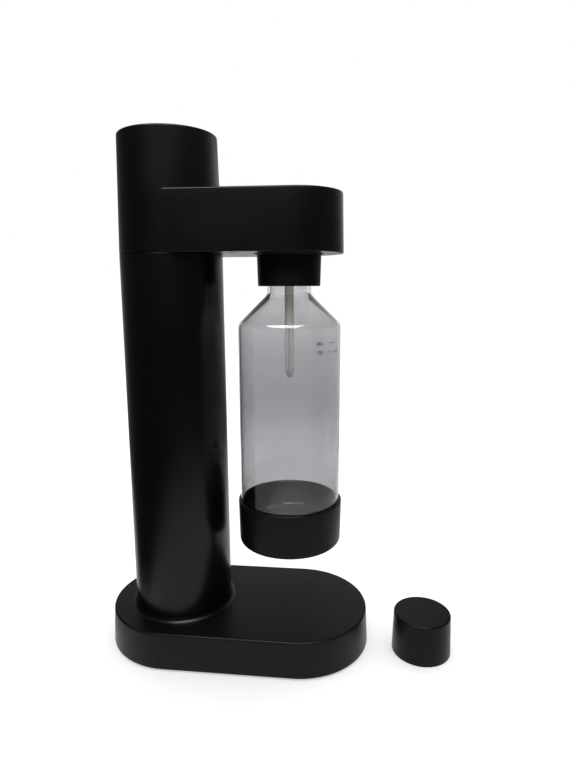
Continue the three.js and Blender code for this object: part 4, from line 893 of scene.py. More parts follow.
class WATERMAKER_OT_base(bpy.types.Operator):
    """Build the base moulding with its deck, and the plate, hatch, feet and screws under it"""

    bl_idname = "water_maker.base"
    bl_label = "Base"

    def execute(self, context):
        s = context.scene.water_maker_sizes
        inner, rubber = "inner black ABS", "moulded rubber"
        dress(self.base_shell(s), "base black ABS", "base_black", "housing", "base_shell")
        dress(self.bottom_plate(s), inner, "inner_black", "housing", "base_plate")
        dress(self.hatch(s), inner, "inner_black", "hatch", "cylinder_hatch")
        for number in range(1, 5):
            screw(f"base_screw_{number}")
            node = f"rubber_foot_{number}"
            dress(self.foot(node), rubber, "foot_rubber", "housing", node)
        screws("sleeve_screw", 3)
        dress(self.foot("hatch_foot"), rubber, "foot_rubber", "hatch", "hatch_foot")
        centre, low, high = spot("hatch_pad")
        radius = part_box("hatch_pad")[1].x
        pad = revolved("foam_pad", [
            (0, low), (radius, low, 0.5 * MM), (radius, high, 1 * MM), (0, high)], centre, FINE_SIDES)
        dress(pad, "closed-cell foam", "pad_foam", "hatch", "hatch_pad")
        return {"FINISHED"}

    def base_shell(self, s):
        """A drafted pill with a rounded deck edge, whose deck runs in to the well round the cylinder.

        Rows are pill outlines drawn in by the profile's inset; inside the deck they become circles round
        the tower's axis, each point on its own ray.
        """
        sides, band, well_wall, deck, floor = 512, 8 * MM, 1.8 * MM, 3 * MM, 2.6 * MM

        def outline(height, inset):
            """The drafted pill at a height, drawn in by an inset."""
            share = (height - s.base_foot) / (s.base_top - s.base_foot)
            radius = s.base_radius - s.base_draft * share - inset
            return level(pill_loop(s.base_left, radius, s.base_right, radius, sides), height)

        profile = rounded_profile([
            (s.base_wall, s.base_foot),
            (0, s.base_foot, 0.8 * MM),
            (0, s.base_top, s.base_edge),
            (band, s.base_top)])
        rows = [outline(height, inset) for inset, height in profile]
        heading = rows[-1][:, :2] / np.linalg.norm(rows[-1][:, :2], axis=1, keepdims=True)
        outer_well = s.well + well_wall
        under = s.base_top - deck
        well_foot = s.base_foot + s.plate + floor
        rows.append(level(heading * s.well, s.base_top))
        rows.append(level(heading * s.well, well_foot))
        rows.append(level(heading * outer_well, well_foot))
        rows.append(level(heading * outer_well, under))
        rows.append(outline(under, s.base_wall))
        return grid_mesh("base_moulding", np.stack(rows), closed_rows=True)

    def bottom_plate(self, s):
        """The pill-shaped plate with the hatch's opening, its two notches, screw seats and foot pockets."""
        free, notch_width, twist, foot_pocket, foot_depth = 0.5 * MM, 7.5 * MM, 40, 8.3 * MM, 0.8 * MM
        low, high = s.base_foot, s.base_foot + s.plate
        start = low - OVERRUN
        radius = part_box("base_plate")[1].y
        plate = prism("bottom_plate", pill_loop(s.base_left, radius, s.base_right, radius, 256), low, high)
        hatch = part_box("cylinder_hatch")[1]
        notch = turned_loop(bar_loop(hatch.x + free, notch_width), twist)
        tools = [
            drill("opening", (0, 0), hatch.y + free, start, high + OVERRUN, 128),
            prism("notch", notch, start, high + OVERRUN, 0.05 * MM)]
        for number in range(1, 5):
            screw_place = spot(f"base_screw_{number}")[0]
            foot_place = spot(f"rubber_foot_{number}")[0]
            tools.append(drill("seat", screw_place, SEAT_RADIUS, start, low + SEAT_DEPTH))
            tools.append(drill("pocket", foot_place, foot_pocket, start, low + foot_depth))
        return carved(plate, tools)

    def hatch(self, s):
        """The twist-off cover with its two tabs on top, its foot's pocket and two finger grips."""
        pocket, pocket_depth, grip_depth = 12.3 * MM, 0.8 * MM, 1.2 * MM
        grip_start, grip_reach, grip_width = 12 * MM, 9 * MM, 4 * MM
        tab_width, tab_length, sunk, raised = 7 * MM, 6 * MM, 0.2 * MM, 0.6 * MM
        low, high = s.base_foot, s.base_foot + s.plate
        start = low - OVERRUN
        reach, radius, tab_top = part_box("cylinder_hatch")[1]
        cover = revolved("hatch_cover", [
            (0, low), (radius, low, 0.6 * MM), (radius, high, 0.2 * MM), (0, high)])
        tools = [drill("pocket", (0, 0), pocket, start, low + pocket_depth)]
        for side in (-1, 1):
            grip = bar_loop(grip_reach, grip_width) + (0, side * (grip_start + radius) / 2)
            tools.append(prism("grip", grip, start, low + grip_depth, 0.05 * MM))
        carved(cover, tools)
        tabs = prism("tabs", bar_loop(reach, tab_width), high + GAP, tab_top)
        roots = prism("roots", bar_loop(radius - GAP, tab_width), high - sunk, high + raised)
        carved(tabs, [roots], "UNION")
        carved(tabs, [drill("middle", (0, 0), radius - tab_length, high - OVERRUN, tab_top + OVERRUN)])
        return carved(cover, [tabs], "UNION")

    def foot(self, node):
        """A round rubber foot with two ring grooves in its sole."""
        centre, low, high = spot(node)
        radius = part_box(node)[1].x - centre[0]
        groove, deep, soft = 0.8 * MM, 0.35 * MM, 0.1 * MM
        ring_shares = (0.35, 0.7)
        corners = [(0, low)]
        for ring in (share * radius for share in ring_shares):
            corners += [(ring - groove, low, soft), (ring, low + deep, soft), (ring + groove, low, soft)]
        corners += [(radius, low, 0.5 * MM), (radius, high, 0.2 * MM), (0, high)]
        return revolved(node + "_sole", corners, centre, FINE_SIDES)


class WATERMAKER_OT_collar(bpy.types.Operator):
    """Build the collar that the bottle screws into, the seal inside it and the carbonating head"""

    bl_idname = "water_maker.collar"
    bl_label = "Bottle collar"

    def execute(self, context):
        s = context.scene.water_maker_sizes
        wall, flange_reach, draft = 5.9 * MM, 3.3 * MM, 0.6 * MM
        flare_rise, flare_reach = 1.2 * MM, 1 * MM
        axis = (s.bottle_axis, 0)
        _, low, high = spot("bottle_collar")
        bore = s.neck_radius + THREAD_ROOM
        outer = bore + wall
        flange = outer + flange_reach
        flange_low = high - FLANGE
        collar = revolved("collar_moulding", [
            (bore, low, 0.4 * MM),
            (outer - draft, low, 0.9 * MM),
            (outer, s.seam - flare_rise, 0.2 * MM),
            (outer + flare_reach, s.seam, 0.2 * MM),
            (outer, flange_low),
            (flange, flange_low),
            (flange, high),
            (bore, high),
            (bore, low, 0.4 * MM)], axis)
        carved(collar, [self.ears(axis, bore, flange_low, high)], "UNION")
        dress(collar, "collar black ABS", "collar_black", "housing", "bottle_collar")
        head = self.gas_head(axis, bore, flange)
        dress(head, "inner black ABS", "inner_black", "housing", "carbonating_head")
        _, low, high = spot("bottle_seal")
        hole, rim = 8.5 * MM, bore - GAP
        seal = revolved("seal_ring", [
            (hole, low, 0.5 * MM), (rim, low, 0.5 * MM), (rim, high, 0.3 * MM), (hole, high, 0.3 * MM),
            (hole, low, 0.5 * MM)], axis)
        dress(seal, "moulded silicone", "seal_rubber", "housing", "bottle_seal")
        screws("collar_screw", 2)
        return {"FINISHED"}

    def ears(self, axis, bore, low, high):
        """A bar across a flange whose round ends take the two screws, open at the bore."""
        half_width = 4.2 * MM
        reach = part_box("bottle_collar")[1].y
        bar = prism("ears", turned_loop(bar_loop(reach, half_width), 90, axis), low, high)
        return carved(bar, [drill("bore", axis, bore, low - OVERRUN, high + OVERRUN)])

    def gas_head(self, axis, bore, flange):
        """The turned body that holds the seal and the nozzle, with the same ears as the collar."""
        socket, crown, rest, sunk = 3.9 * MM, 17 * MM, 0.2 * MM, 1 * MM
        _, low, high = spot("carbonating_head")
        flange_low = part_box("bottle_collar")[1].z + rest
        flange_high = flange_low + FLANGE
        socket_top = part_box("nozzle_tube")[1].z + rest
        body = revolved("gas_head_body", [
            (0, socket_top),
            (socket, socket_top),
            (socket, low, 0.3 * MM),
            (bore - GAP, low, 0.4 * MM),
            (bore - GAP, flange_low),
            (flange, flange_low),
            (flange, flange_high, 0.4 * MM),
            (crown, flange_high, 0.8 * MM),
            (crown, high, 0.8 * MM),
            (0, high)], axis)
        return carved(body, [self.ears(axis, socket + sunk, flange_low, flange_high)], "UNION")


class WATERMAKER_OT_nozzle(bpy.types.Operator):
    """Build the nozzle tube and the long pale tip at its end"""

    bl_idname = "water_maker.nozzle"
    bl_label = "Nozzle"

    def execute(self, context):
        s = context.scene.water_maker_sizes
        centre = (s.bottle_axis, 0)
        radius, bore = 3.6 * MM, 1.8 * MM
        jet, shank, end, taper, shank_length = 0.6 * MM, 1.5 * MM, 2 * MM, 5 * MM, 4 * MM
        _, low, high = spot("nozzle_tube")
        tube = revolved("nozzle_tube_drawn", [
            (bore, low), (radius, low, 0.3 * MM), (radius, high, 0.3 * MM), (bore, high),
            (bore, low)], centre, FINE_SIDES)
        dress(tube, "nozzle grey POM", "tube_grey", "housing", "nozzle_tube")
        _, foot, crown = spot("nozzle_tip")
        shoulder = crown - shank_length
        tip = revolved("nozzle_jet", [
            (jet, foot), (end, foot, 0.5 * MM), (radius, foot + taper, 2 * MM),
            (radius, shoulder, 0.3 * MM), (shank, shoulder), (shank, crown),
            (jet, crown), (jet, foot)], centre, FINE_SIDES)
        dress(tip, "natural POM", "nozzle_natural", "housing", "nozzle_tip")
        return {"FINISHED"}


class WATERMAKER_OT_bottle(bpy.types.Operator):
    """Build the clear bottle with its threaded neck and domed foot, and its fill marks"""

    bl_idname = "water_maker.bottle"
    bl_label = "Bottle"

    def execute(self, context):
        s = context.scene.water_maker_sizes
        dress(self.bottle(s), "blown clear PET", "clear_bottle", "bottle", "bottle")
        fill_marks = {
            "800": (259.3 * MM, [(11.9 * MM, 19.7 * MM)]),
            "750": (252.6 * MM, [(9.7 * MM, 14.3 * MM), (18.3 * MM, 23.7 * MM)]),
        }
        for text, (height, lines) in fill_marks.items():
            dress(self.fill_mark(s, text, height, lines), "fill mark ink", "base_black", "bottle")
        return {"FINISHED"}

    def bottle(self, s):
        """A turned wall whose neck is thick and carries the thread, and whose foot is domed inwards."""
        radius, wall, neck, neck_wall = s.bottle_radius, s.bottle_wall, s.neck_radius, 2.8 * MM
        stand, heel, heel_rise, rise, waist_step = 29.7 * MM, 35.7 * MM, 7 * MM, 11 * MM, 0.6 * MM
        cup_hold, thread_rows, dome_steps, floor_steps = 0.8 * MM, 60, 16, 10
        _, low, high = spot("bottle")
        thread_low, thread_high = high - 20.8 * MM, high - 2 * MM
        waist = radius - waist_step
        shoulder_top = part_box("bottle_collar")[0].z - s.neck_visible
        shoulder_low = shoulder_top - s.shoulder
        drop = wall * math.tan(math.atan2(radius - neck, s.shoulder) / 2)
        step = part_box("bottle_cup")[1].z - cup_hold
        turn = np.linspace(0, np.pi / 2, dome_steps)[:-1]
        dome = np.stack([stand * np.sin(turn), low + rise * np.cos(turn)], axis=-1)
        floor = dome[:floor_steps][::-1] + (0, wall)
        outside = rounded_profile([
            (stand, low, 2 * MM),
            (heel, low, 5 * MM),
            (waist, low + heel_rise, 6 * MM),
            (waist, step, 0.5 * MM),
            (radius, step + waist_step, 0.5 * MM),
            (radius, shoulder_low, 7 * MM),
            (neck, shoulder_top, 9 * MM),
            (neck, thread_low - 0.2 * MM)])
        thread_heights = np.linspace(thread_low, thread_high, thread_rows)
        thread = np.stack([np.full_like(thread_heights, neck), thread_heights], axis=-1)
        inside = rounded_profile([
            (neck, thread_high + 0.1 * MM),
            (neck, high, 0.5 * MM),
            (neck - neck_wall, high, 0.5 * MM),
            (neck - neck_wall, shoulder_top - 2 * drop, 10 * MM),
            (radius - wall, shoulder_low - drop, 6 * MM),
            (radius - wall, step + waist_step, 0.5 * MM),
            (waist - wall, step, 0.5 * MM),
            (waist - wall, floor[0, 1], 15 * MM),
            tuple(floor[0])])
        profile = np.concatenate([dome, outside, thread, inside, floor[1:]])
        turn = circle_steps(CURVE_SIDES)
        reach = np.repeat(profile[:, :1], CURVE_SIDES, axis=1)
        first = len(dome) + len(outside)
        reach[first:first + len(thread)] += self.thread_ridge(turn, thread_heights[:, None], high)
        grid = round_grid(reach, turn, profile[:, 1:], (s.bottle_axis, 0))
        return grid_mesh("bottle_blown", grid, closed_rows=False)

    def thread_ridge(self, turn, height, high):
        """How far the thread stands out of the neck at a turn and a height.

        The crest climbs by one pitch a turn. The ridge is its depth times min(1, slope (1 - distance
        from the crest / half width)), which is flat on top, and it fades in and out at its two ends.
        """
        pitch, turns, below, half_width, depth = 4.5 * MM, 2.2, 5 * MM, 1.3 * MM, 1.4 * MM
        slope, fade = 1.6, 0.08
        start = high - below - pitch * turns
        ridge = np.zeros((len(height), len(turn)))
        for lap in range(math.ceil(turns)):
            path = turn / (2 * np.pi) + lap
            off = np.abs(height - start - pitch * path) / half_width
            ends = np.clip(path / fade, 0, 1) * np.clip((turns - path) / fade, 0, 1)
            ridge = np.maximum(ridge, depth * np.clip(slope * (1 - off), 0, 1) * ends)
        return ridge

    def fill_mark(self, s, text, height, lines):
        """A small plain numeral and the lines beside it, bent round the bottle.

        A flat point (x, y, z) goes to the angle x / R, the height y, and the reach R + z.
        """
        size, line_width, film, steps = 3.9 * MM, 0.4 * MM, 0.03 * MM, 12
        middle_share, place = 0.35, math.radians(-54)
        data = bpy.data.curves.new("numeral", "FONT")
        data.body = text
        data.size = size
        data.extrude = film
        writing = bpy.data.objects.new("numeral", data)
        bpy.context.scene.collection.objects.link(writing)
        bpy.context.view_layer.update()
        shaped = writing.evaluated_get(bpy.context.evaluated_depsgraph_get())
        mesh = bpy.data.meshes.new_from_object(shaped)
        bpy.data.objects.remove(writing)
        mark = bpy.data.objects.new(f"fill_mark_{text}", mesh)
        bpy.context.scene.collection.objects.link(mark)
        middle = middle_share * size
        for start, end in lines:
            along = np.linspace(start, end, steps)
            edge = np.full(steps, line_width / 2)
            line = np.concatenate([np.stack([along, middle - edge], axis=-1),
                                   np.stack([along, middle + edge], axis=-1)[::-1]])
            joined(mark, [prism("line", line, -film, film, film / 3)])
        flat = np.empty(len(mark.data.vertices) * 3)
        mark.data.vertices.foreach_get("co", flat)
        flat = flat.reshape(-1, 3)
        reach = s.bottle_radius + 2 * film + flat[:, 2]
        angle = place + flat[:, 0] / s.bottle_radius
        bent = np.stack([s.bottle_axis + reach * np.cos(angle), reach * np.sin(angle),
                         height - middle + flat[:, 1]], axis=-1)
        mark.data.vertices.foreach_set("co", bent.ravel())
        finish_mesh(mark.data)
        return mark


class WATERMAKER_OT_cup(bpy.types.Operator):
    """Build the black cup that the bottle stands in"""

    bl_idname = "water_maker.cup"
    bl_label = "Bottle cup"

    def execute(self, context):
        s = context.scene.water_maker_sizes
        heel, recess, floor = 4 * MM, 2.3 * MM, 5 * MM
        _, low, high = spot("bottle_cup")
        foot = s.cup_radius - s.cup_draft
        bore = s.bottle_radius - GAP
        ring = foot - 2 * heel
        cup = revolved("cup_moulding", [
            (0, low + recess),
            (ring, low + recess, 0.4 * MM),
            (ring + recess / 2, low, 0.4 * MM),
            (foot, low, heel),
            (s.cup_radius, high, 0.8 * MM),
            (bore, high, 0.5 * MM),
            (bore, low + floor, heel),
            (0, low + floor)], (s.bottle_axis, 0))
        dress(cup, "cap black PP", "cap_black", "bottle", "bottle_cup")
        return {"FINISHED"}


class WATERMAKER_OT_cap(bpy.types.Operator):
    """Build the loose cap that stands beside the base, with its sealing disc"""

    bl_idname = "water_maker.cap"
    bl_label = "Loose cap"

    def execute(self, context):
        s = context.scene.water_maker_sizes
        top, land, ramp, groove = 4 * MM, 3 * MM, 0.6 * MM, 0.4 * MM
        bore = s.neck_radius + THREAD_ROOM
        crown = s.cap_height - top
        place = (s.cap_x, s.cap_y)
        cap = revolved("cap_moulding", [
            (0, s.cap_height),
            (s.cap_radius - s.cap_taper, s.cap_height, 1.4 * MM),
            (s.cap_radius, 0, 0.4 * MM),
            (bore, 0, 0.5 * MM),
            (bore, crown),
            (0, crown)], place)
        dress(cap, "cap black PP", "cap_black", "cap", "loose_cap")
        _, low, high = spot("cap_liner")
        rim = bore - GAP
        liner = revolved("cap_disc", [
            (0, low), (rim - land, low, 0.3 * MM), (rim - land + ramp, low + groove, 0.3 * MM),
            (rim, low + groove, 0.3 * MM), (rim, high, 0.3 * MM), (0, high)], place, FINE_SIDES)
        dress(liner, "moulded silicone", "seal_rubber", "cap", "cap_liner")
        return {"FINISHED"}


class WATERMAKER_OT_works(bpy.types.Operator):
    """Build the gas cylinder, the valve, the lever, the springs, the hose and the rest inside"""

    bl_idname = "water_maker.works"
    bl_label = "Works"

    def execute(self, context):
        s = context.scene.water_maker_sizes
        dress(self.gas_cylinder(), "painted aluminium", "cylinder_grey", "cylinder", "gas_cylinder")
        dress(self.cylinder_valve(), "turned brass", "valve_brass", "cylinder", "cylinder_valve")
        dress(self.sleeve(s), "inner black ABS", "inner_black", "housing", "cylinder_sleeve")
        springs = {
            "button_spring": (0.9 * MM, 7, "housing", "button_press"),
            "valve_spring": (0.4 * MM, 6, "cylinder", "valve_pin_slide"),
        }
        for node, (wire, turns, body, joint) in springs.items():
            spring = coil(f"{node}_wound", node, wire, turns)
            dress(spring, "drawn steel", "spring_steel", body, node)
            self.shorten(spring, node, joint)
        dress(self.hose(), "hose white PE", "hose_white", "housing", "gas_hose")
        for node, end in (("block_barb", 1), ("head_barb", -1)):
            dress(self.barb(node, end), "turned brass", "valve_brass", "housing", node)
        dress(self.relief_valve(), "turned brass", "valve_brass", "housing", "relief_valve")
        screws("block_screw", 2)
        repaint("cast zinc", "valve_block", "press_lever")
        repaint("drawn steel", "lever_axle", "actuator_pin", "valve_pin")
        repaint("moulded silicone", "valve_gasket")
        return {"FINISHED"}

    def shorten(self, spring, node, joint):
        """Gives a spring its own copy of its mesh."""
        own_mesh(spring)

    def gas_cylinder(self):
        """A drawn cylinder: a dished foot, a straight wall, a quarter-ellipse shoulder and a neck."""
        centre, low, high = spot("gas_cylinder")
        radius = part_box("gas_cylinder")[1].x
        neck, bore, wall, stand, dish = 13 * MM, 9.5 * MM, 2.6 * MM, 24 * MM, 4 * MM
        neck_height, rise, steps, sides = 9 * MM, 22 * MM, 24, 128
        neck_foot = high - neck_height
        turn = np.linspace(0, np.pi / 2, steps)[:, None]
        foot = rounded_profile([(0, low + dish), (stand, low, 3 * MM), (radius, low + dish, 6 * MM),
                                (radius, neck_foot - rise)])
        shoulder = np.concatenate([neck + (radius - neck) * np.cos(turn),
                                   neck_foot - rise + rise * np.sin(turn)], axis=1)
        top = rounded_profile([(neck, neck_foot), (neck, high, 0.8 * MM), (bore, high, 0.3 * MM),
                               (bore, neck_foot - wall)])
        inside = np.concatenate([bore + (radius - wall - bore) * np.cos(turn[::-1]),
                                 neck_foot - wall - rise + rise * np.sin(turn[::-1])], axis=1)
        floor = rounded_profile([(radius - wall, low + dish + wall, 4 * MM),
                                 (stand, low + dish + wall), (0, low + 2 * dish + wall)])
        profile = np.concatenate([foot[:-1], shoulder, top[1:-1], inside, floor[1:]])
        return revolved_points("cylinder_drawn", profile, centre, sides)

    def cylinder_valve(self):
        """The brass valve: a stem in the neck, a six-sided flange and the thread for the block."""
        stem, root, pin_room, chamber, inlet = 9.2 * MM, 9.5 * MM, 1.7 * MM, 5.2 * MM, 2.2 * MM
        thread_height, nut_height, seat_depth, ledge, sunk = 12 * MM, 8 * MM, 18 * MM, 2 * MM, 0.2 * MM
        pitch, ridge, run_in, run_out = 1.5 * MM, 0.55 * MM, 0.4 * MM, 1.2 * MM
        centre, low, high = spot("cylinder_valve")
        thread_foot, seat = high - thread_height, high - seat_depth
        body = revolved("valve_stem", [
            (pin_room, seat), (chamber, seat), (chamber, low + ledge), (inlet, low + ledge),
            (inlet, low), (stem, low, 0.6 * MM), (stem, thread_foot), (root, thread_foot),
            (root, high, 0.6 * MM), (pin_room, high), (pin_room, seat)], centre)
        start, end = thread_foot + run_in, high - run_out
        turns = (end - start) / pitch
        share = np.linspace(0, 1, int(FINE_SIDES * turns))
        angle = 2 * np.pi * turns * share
        side = level(compass(angle), 0)
        path = (root + sunk) * side
        path[:, 2] = start + (end - start) * share
        thread = swept("valve_thread", path, side, ridge, sides=8)
        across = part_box("cylinder_valve")[1].x
        nut = six_sided("valve_nut", stem - sunk, across, thread_foot - nut_height, thread_foot, centre)
        return joined(body, [nut, thread])

    def sleeve(self, s):
        """The guide round the cylinder, with a flange on the deck and a ring plate on top."""
        wall, hole, plate, flange_height = 2 * MM, 14.5 * MM, 4 * MM, 3 * MM
        centre, low, high = spot("cylinder_sleeve")
        flange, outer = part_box("cylinder_sleeve")[1].x, s.well + wall
        return revolved("sleeve_moulding", [
            (s.well, low, 0.4 * MM), (flange, low), (flange, low + flange_height, 0.4 * MM),
            (outer, low + flange_height, 1 * MM), (outer, high, 1 * MM), (hole, high, 0.4 * MM),
            (hole, high - plate, 0.4 * MM), (s.well, high - plate, 1.5 * MM), (s.well, low, 0.4 * MM)],
            centre)

    def hose(self):
        """The gas hose: a tube that leaves both barbs straight and bends between them in a smooth S.

        Along it x runs evenly from end to end, and z follows 3 u^2 - 2 u^3 between the straights.
        """
        low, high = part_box("gas_hose")
        radius, bore, straight, steps = 3.6 * MM, 2.5 * MM, 8 * MM, 60
        x = np.linspace(low.x, high.x, steps)
        share = np.clip((x - low.x - straight) / (high.x - low.x - 2 * straight), 0, 1)
        top, foot = high.z - radius, low.z + radius
        first_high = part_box("block_barb")[0].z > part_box("head_barb")[0].z
        start, end = (top, foot) if first_high else (foot, top)
        z = start + (end - start) * (3 * share ** 2 - 2 * share ** 3)
        path = np.stack([x, np.zeros_like(x), z], axis=-1)
        return swept("hose_drawn", path, np.tile([0.0, 1.0, 0.0], (steps, 1)), radius, bore, 28)

    def barb(self, node, end):
        """A brass barb: a threaded end, a six-sided collar and three sloped ridges for the hose."""
        thread, collar, length, chamfer = 5 * MM, 5 * MM, 7 * MM, 0.4 * MM
        bore, stem, ridge, shank, core = 0.9 * MM, 1.8 * MM, 2.3 * MM, 2.4 * MM, 2.6 * MM
        nut_hole, across, first, pitch = 1.2 * MM, 4.8 * MM, 0.6 * MM, 2.1 * MM
        rise, slope, sides = 0.1 * MM, 1.8 * MM, 40
        low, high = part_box(node)
        height = (low.z + high.z) / 2
        corners = [(bore, -thread), (shank, -thread, 0.3 * MM), (shank, 0), (core, 0),
                   (core, collar), (stem, collar)]
        for step in range(3):
            foot = collar + first + step * pitch
            corners += [(stem, foot), (ridge, foot + rise), (stem, foot + slope)]
        corners += [(stem, collar + length), (bore, collar + length), (bore, -thread)]
        body = revolved(node + "_turned", corners, (0, 0), sides)
        joined(body, [six_sided("collar", nut_hole, across, 0, collar, (0, 0), chamfer)])
        origin = low.x + thread if end > 0 else high.x - thread
        turn = Matrix.Rotation(math.radians(90 * end), 4, "Y")
        body.data.transform(Matrix.Translation((origin, 0, height)) @ turn)
        return body

    def relief_valve(self):
        """The brass relief valve: a stem, a round head and a small cap."""
        stem, head, cap, head_height, cap_height = 3.5 * MM, 5.2 * MM, 2.4 * MM, 5 * MM, 2 * MM
        centre, low, high = spot("relief_valve")
        head_top = high - cap_height
        head_foot = head_top - head_height
        corners = [(0, low), (stem, low, 0.5 * MM), (stem, head_foot), (head, head_foot, 0.4 * MM),
                   (head, head_top, 0.6 * MM), (cap, head_top, 0.3 * MM), (cap, high, 0.5 * MM), (0, high)]
        return revolved("relief_turned", corners, centre, FINE_SIDES)


class WATERMAKER_OT_stage(bpy.types.Operator):
    """Set up the camera, the table, the room light, the lamps and the dark room that reflections see"""

    bl_idname = "water_maker.stage"
    bl_label = "Stage"

    def execute(self, context):
        scene = context.scene
        stage = scene.water_maker_stage
        scene.view_settings.view_transform = "Standard"
        self.camera(scene, stage)
        self.world(scene, stage)
        self.floor(scene, stage)
        self.room()
        self.panels()
        self.lamp(scene)
        return {"FINISHED"}

    def camera(self, scene, stage):
        """The eye looks along forward, with right and up turned by the roll."""
        forward = Vector((math.sin(stage.yaw) * math.cos(stage.pitch),
                          math.cos(stage.yaw) * math.cos(stage.pitch), -math.sin(stage.pitch)))
        level_right = Vector((math.cos(stage.yaw), -math.sin(stage.yaw), 0))
        level_up = level_right.cross(forward)
        right = level_right * math.cos(stage.roll) + level_up * math.sin(stage.roll)
        up = level_up * math.cos(stage.roll) - level_right * math.sin(stage.roll)
        data = bpy.data.cameras.new("camera")
        data.sensor_fit = "VERTICAL"
        data.sensor_height = 36
        data.lens = stage.lens
        data.clip_start = 0.01
        eye = bpy.data.objects.new("camera", data)
        turn = Matrix((right, up, -forward)).transposed().to_4x4()
        eye.matrix_world = Matrix.Translation(stage.eye) @ turn
        scene.collection.objects.link(eye)
        scene.camera = eye

    def looked_at(self, tree):
        """1 on the rays that show the backdrop: seen, mirrored and seen through. 0 on all others."""
        rays = add_node(tree, "ShaderNodeLightPath").outputs
        seen = add_node(tree, "ShaderNodeMath", {"operation": "MAXIMUM"}, {
            0: rays["Is Camera Ray"], 1: rays["Is Glossy Ray"]})
        return add_node(tree, "ShaderNodeMath", {"operation": "MAXIMUM"}, {
            0: seen.outputs[0], 1: rays["Is Transmission Ray"]}).outputs[0]

    def world(self, scene, stage):
        """White wherever the background is seen, mirrored or seen through, and softer as light."""
        world = bpy.data.worlds.new("room")
        world.use_nodes = True
        world.cycles.sampling_method = "NONE"
        tree = world.node_tree
        tree.nodes.clear()
        strength = add_node(tree, "ShaderNodeMapRange", inputs={
            "Value": self.looked_at(tree), "To Min": stage.world_light, "To Max": 1.0})
        light = add_node(tree, "ShaderNodeBackground", inputs={
            "Color": (1, 1, 1, 1), "Strength": strength.outputs[0]})
        add_node(tree, "ShaderNodeOutputWorld", inputs={"Surface": light.outputs[0]})
        scene.world = world

    def floor(self, scene, stage):
        """A round table top, far wider than the view, lifted to white but with its shadows kept."""
        material, tree = new_material("pale table")
        grain = object_noise(tree, 5 * MM, 2.0)
        tone = scene.water_maker_colours.floor
        matt = add_node(tree, "ShaderNodeBsdfDiffuse", inputs={
            "Color": tinted(tree, tone, 0.01, grain)})
        lift = add_node(tree, "ShaderNodeMath", {"operation": "MULTIPLY"}, {
            0: self.looked_at(tree), 1: stage.table_lift})
        glow = add_node(tree, "ShaderNodeEmission", inputs={
            "Color": (1, 1, 1, 1), "Strength": lift.outputs[0]})
        both = add_node(tree, "ShaderNodeAddShader", inputs={0: matt.outputs[0], 1: glow.outputs[0]})
        close_material(tree, both)
        reach, inner_share, sides = 40, 0.02, 96
        rim = reach * compass(circle_steps(sides))
        grid = np.stack([level(rim * share, 0) for share in (0, inner_share, 1)])
        table = grid_mesh("table_top", grid, closed_rows=False)
        table.data.materials.append(material)

    def room(self):
        """The dim room round the set, which only reflections see.

        Its foot lies on the table, where the light falls off with distance. Its wall stands at a reach
        that follows the direction from the tower's axis, and a roof closes it. The wall's glow is a dim
        level, plus for each pale place in the room the strength times exp(-(turn / width)^2 -
        (rise / height)^2), with turn and rise measured from the place's middle.
        """
        material, tree = new_material("dim room")
        glow = add_node(tree, "ShaderNodeAttribute", {"attribute_name": "glow"}).outputs["Fac"]
        cloth = add_node(tree, "ShaderNodeEmission", inputs={
            "Color": (1, 1, 1, 1), "Strength": glow})
        close_material(tree, cloth)
        direction = np.arange(-180, 180, 3.0)
        reach = np.interp(direction, (-180, -150, -90, -45, 45, 90, 135, 165, 180),
                          (0.11, 0.14, 0.50, 0.60, 0.45, 0.90, 0.60, 0.16, 0.11))
        wide = np.maximum(reach, 0.95)
        # Each row of the table is its height, its share of the reach and its glow.
        table = ((0.001, 0.55, 0.95), (0.003, 0.8, 0.55), (0.005, 0.92, 0.2))
        wall = np.arange(0.03, 0.6, 0.05)
        roof = (0.60, 1.05, 1.40)
        # Each pale place is its direction, its width in degrees, its height, its height's spread and
        # its strength.
        pale_places = {
            "back wall": (98, 45, 0.28, 0.24, 0.72),
            "window at the right": (58, 28, 0.50, 0.16, 0.62),
            "right wall": (0, 40, 0.48, 0.20, 0.12),
            "lit front": (-93, 15, 0.50, 0.12, 0.14),
            "left wall": (-175, 30, 0.35, 0.20, 0.05),
        }
        dim, roof_glow = 0.025, 0.28
        heights = np.concatenate([[row[0] for row in table], wall, roof])
        reaches = [share * reach for _, share, _ in table] + [reach] * len(wall) + [wide, wide, 0 * wide]
        light = np.full((len(heights), len(direction)), dim)
        for middle, width, height, tall, strength in pale_places.values():
            turn = (direction - middle + 180) % 360 - 180
            light += strength * np.exp(-(turn / width) ** 2 - ((heights[:, None] - height) / tall) ** 2)
        light[:len(table)] = np.array([row[2] for row in table])[:, None]
        light[-len(roof):] = roof_glow
        heading = compass(np.radians(direction))
        grid = np.stack([level(out[:, None] * heading, height) for height, out in zip(heights, reaches)])
        room = grid_mesh("dim_room", np.concatenate([grid[:1] * (0, 0, 1), grid]), closed_rows=False)
        points = np.empty(len(room.data.vertices) * 3)
        room.data.vertices.foreach_get("co", points)
        points = points.reshape(-1, 3)
        nearest = np.linalg.norm(points[:, None] - grid.reshape(1, -1, 3), axis=2).argmin(axis=1)
        layer = room.data.attributes.new("glow", "FLOAT", "POINT")
        layer.data.foreach_set("value", light.ravel()[nearest])
        room.data.materials.append(material)
        self.only_mirrored(room)

    def only_mirrored(self, piece, through=False):
        """Leaves a piece to reflections, and to what the bottle shows through if asked."""
        piece.visible_camera = False
        piece.visible_diffuse = False
        piece.visible_transmission = through
        piece.visible_shadow = False

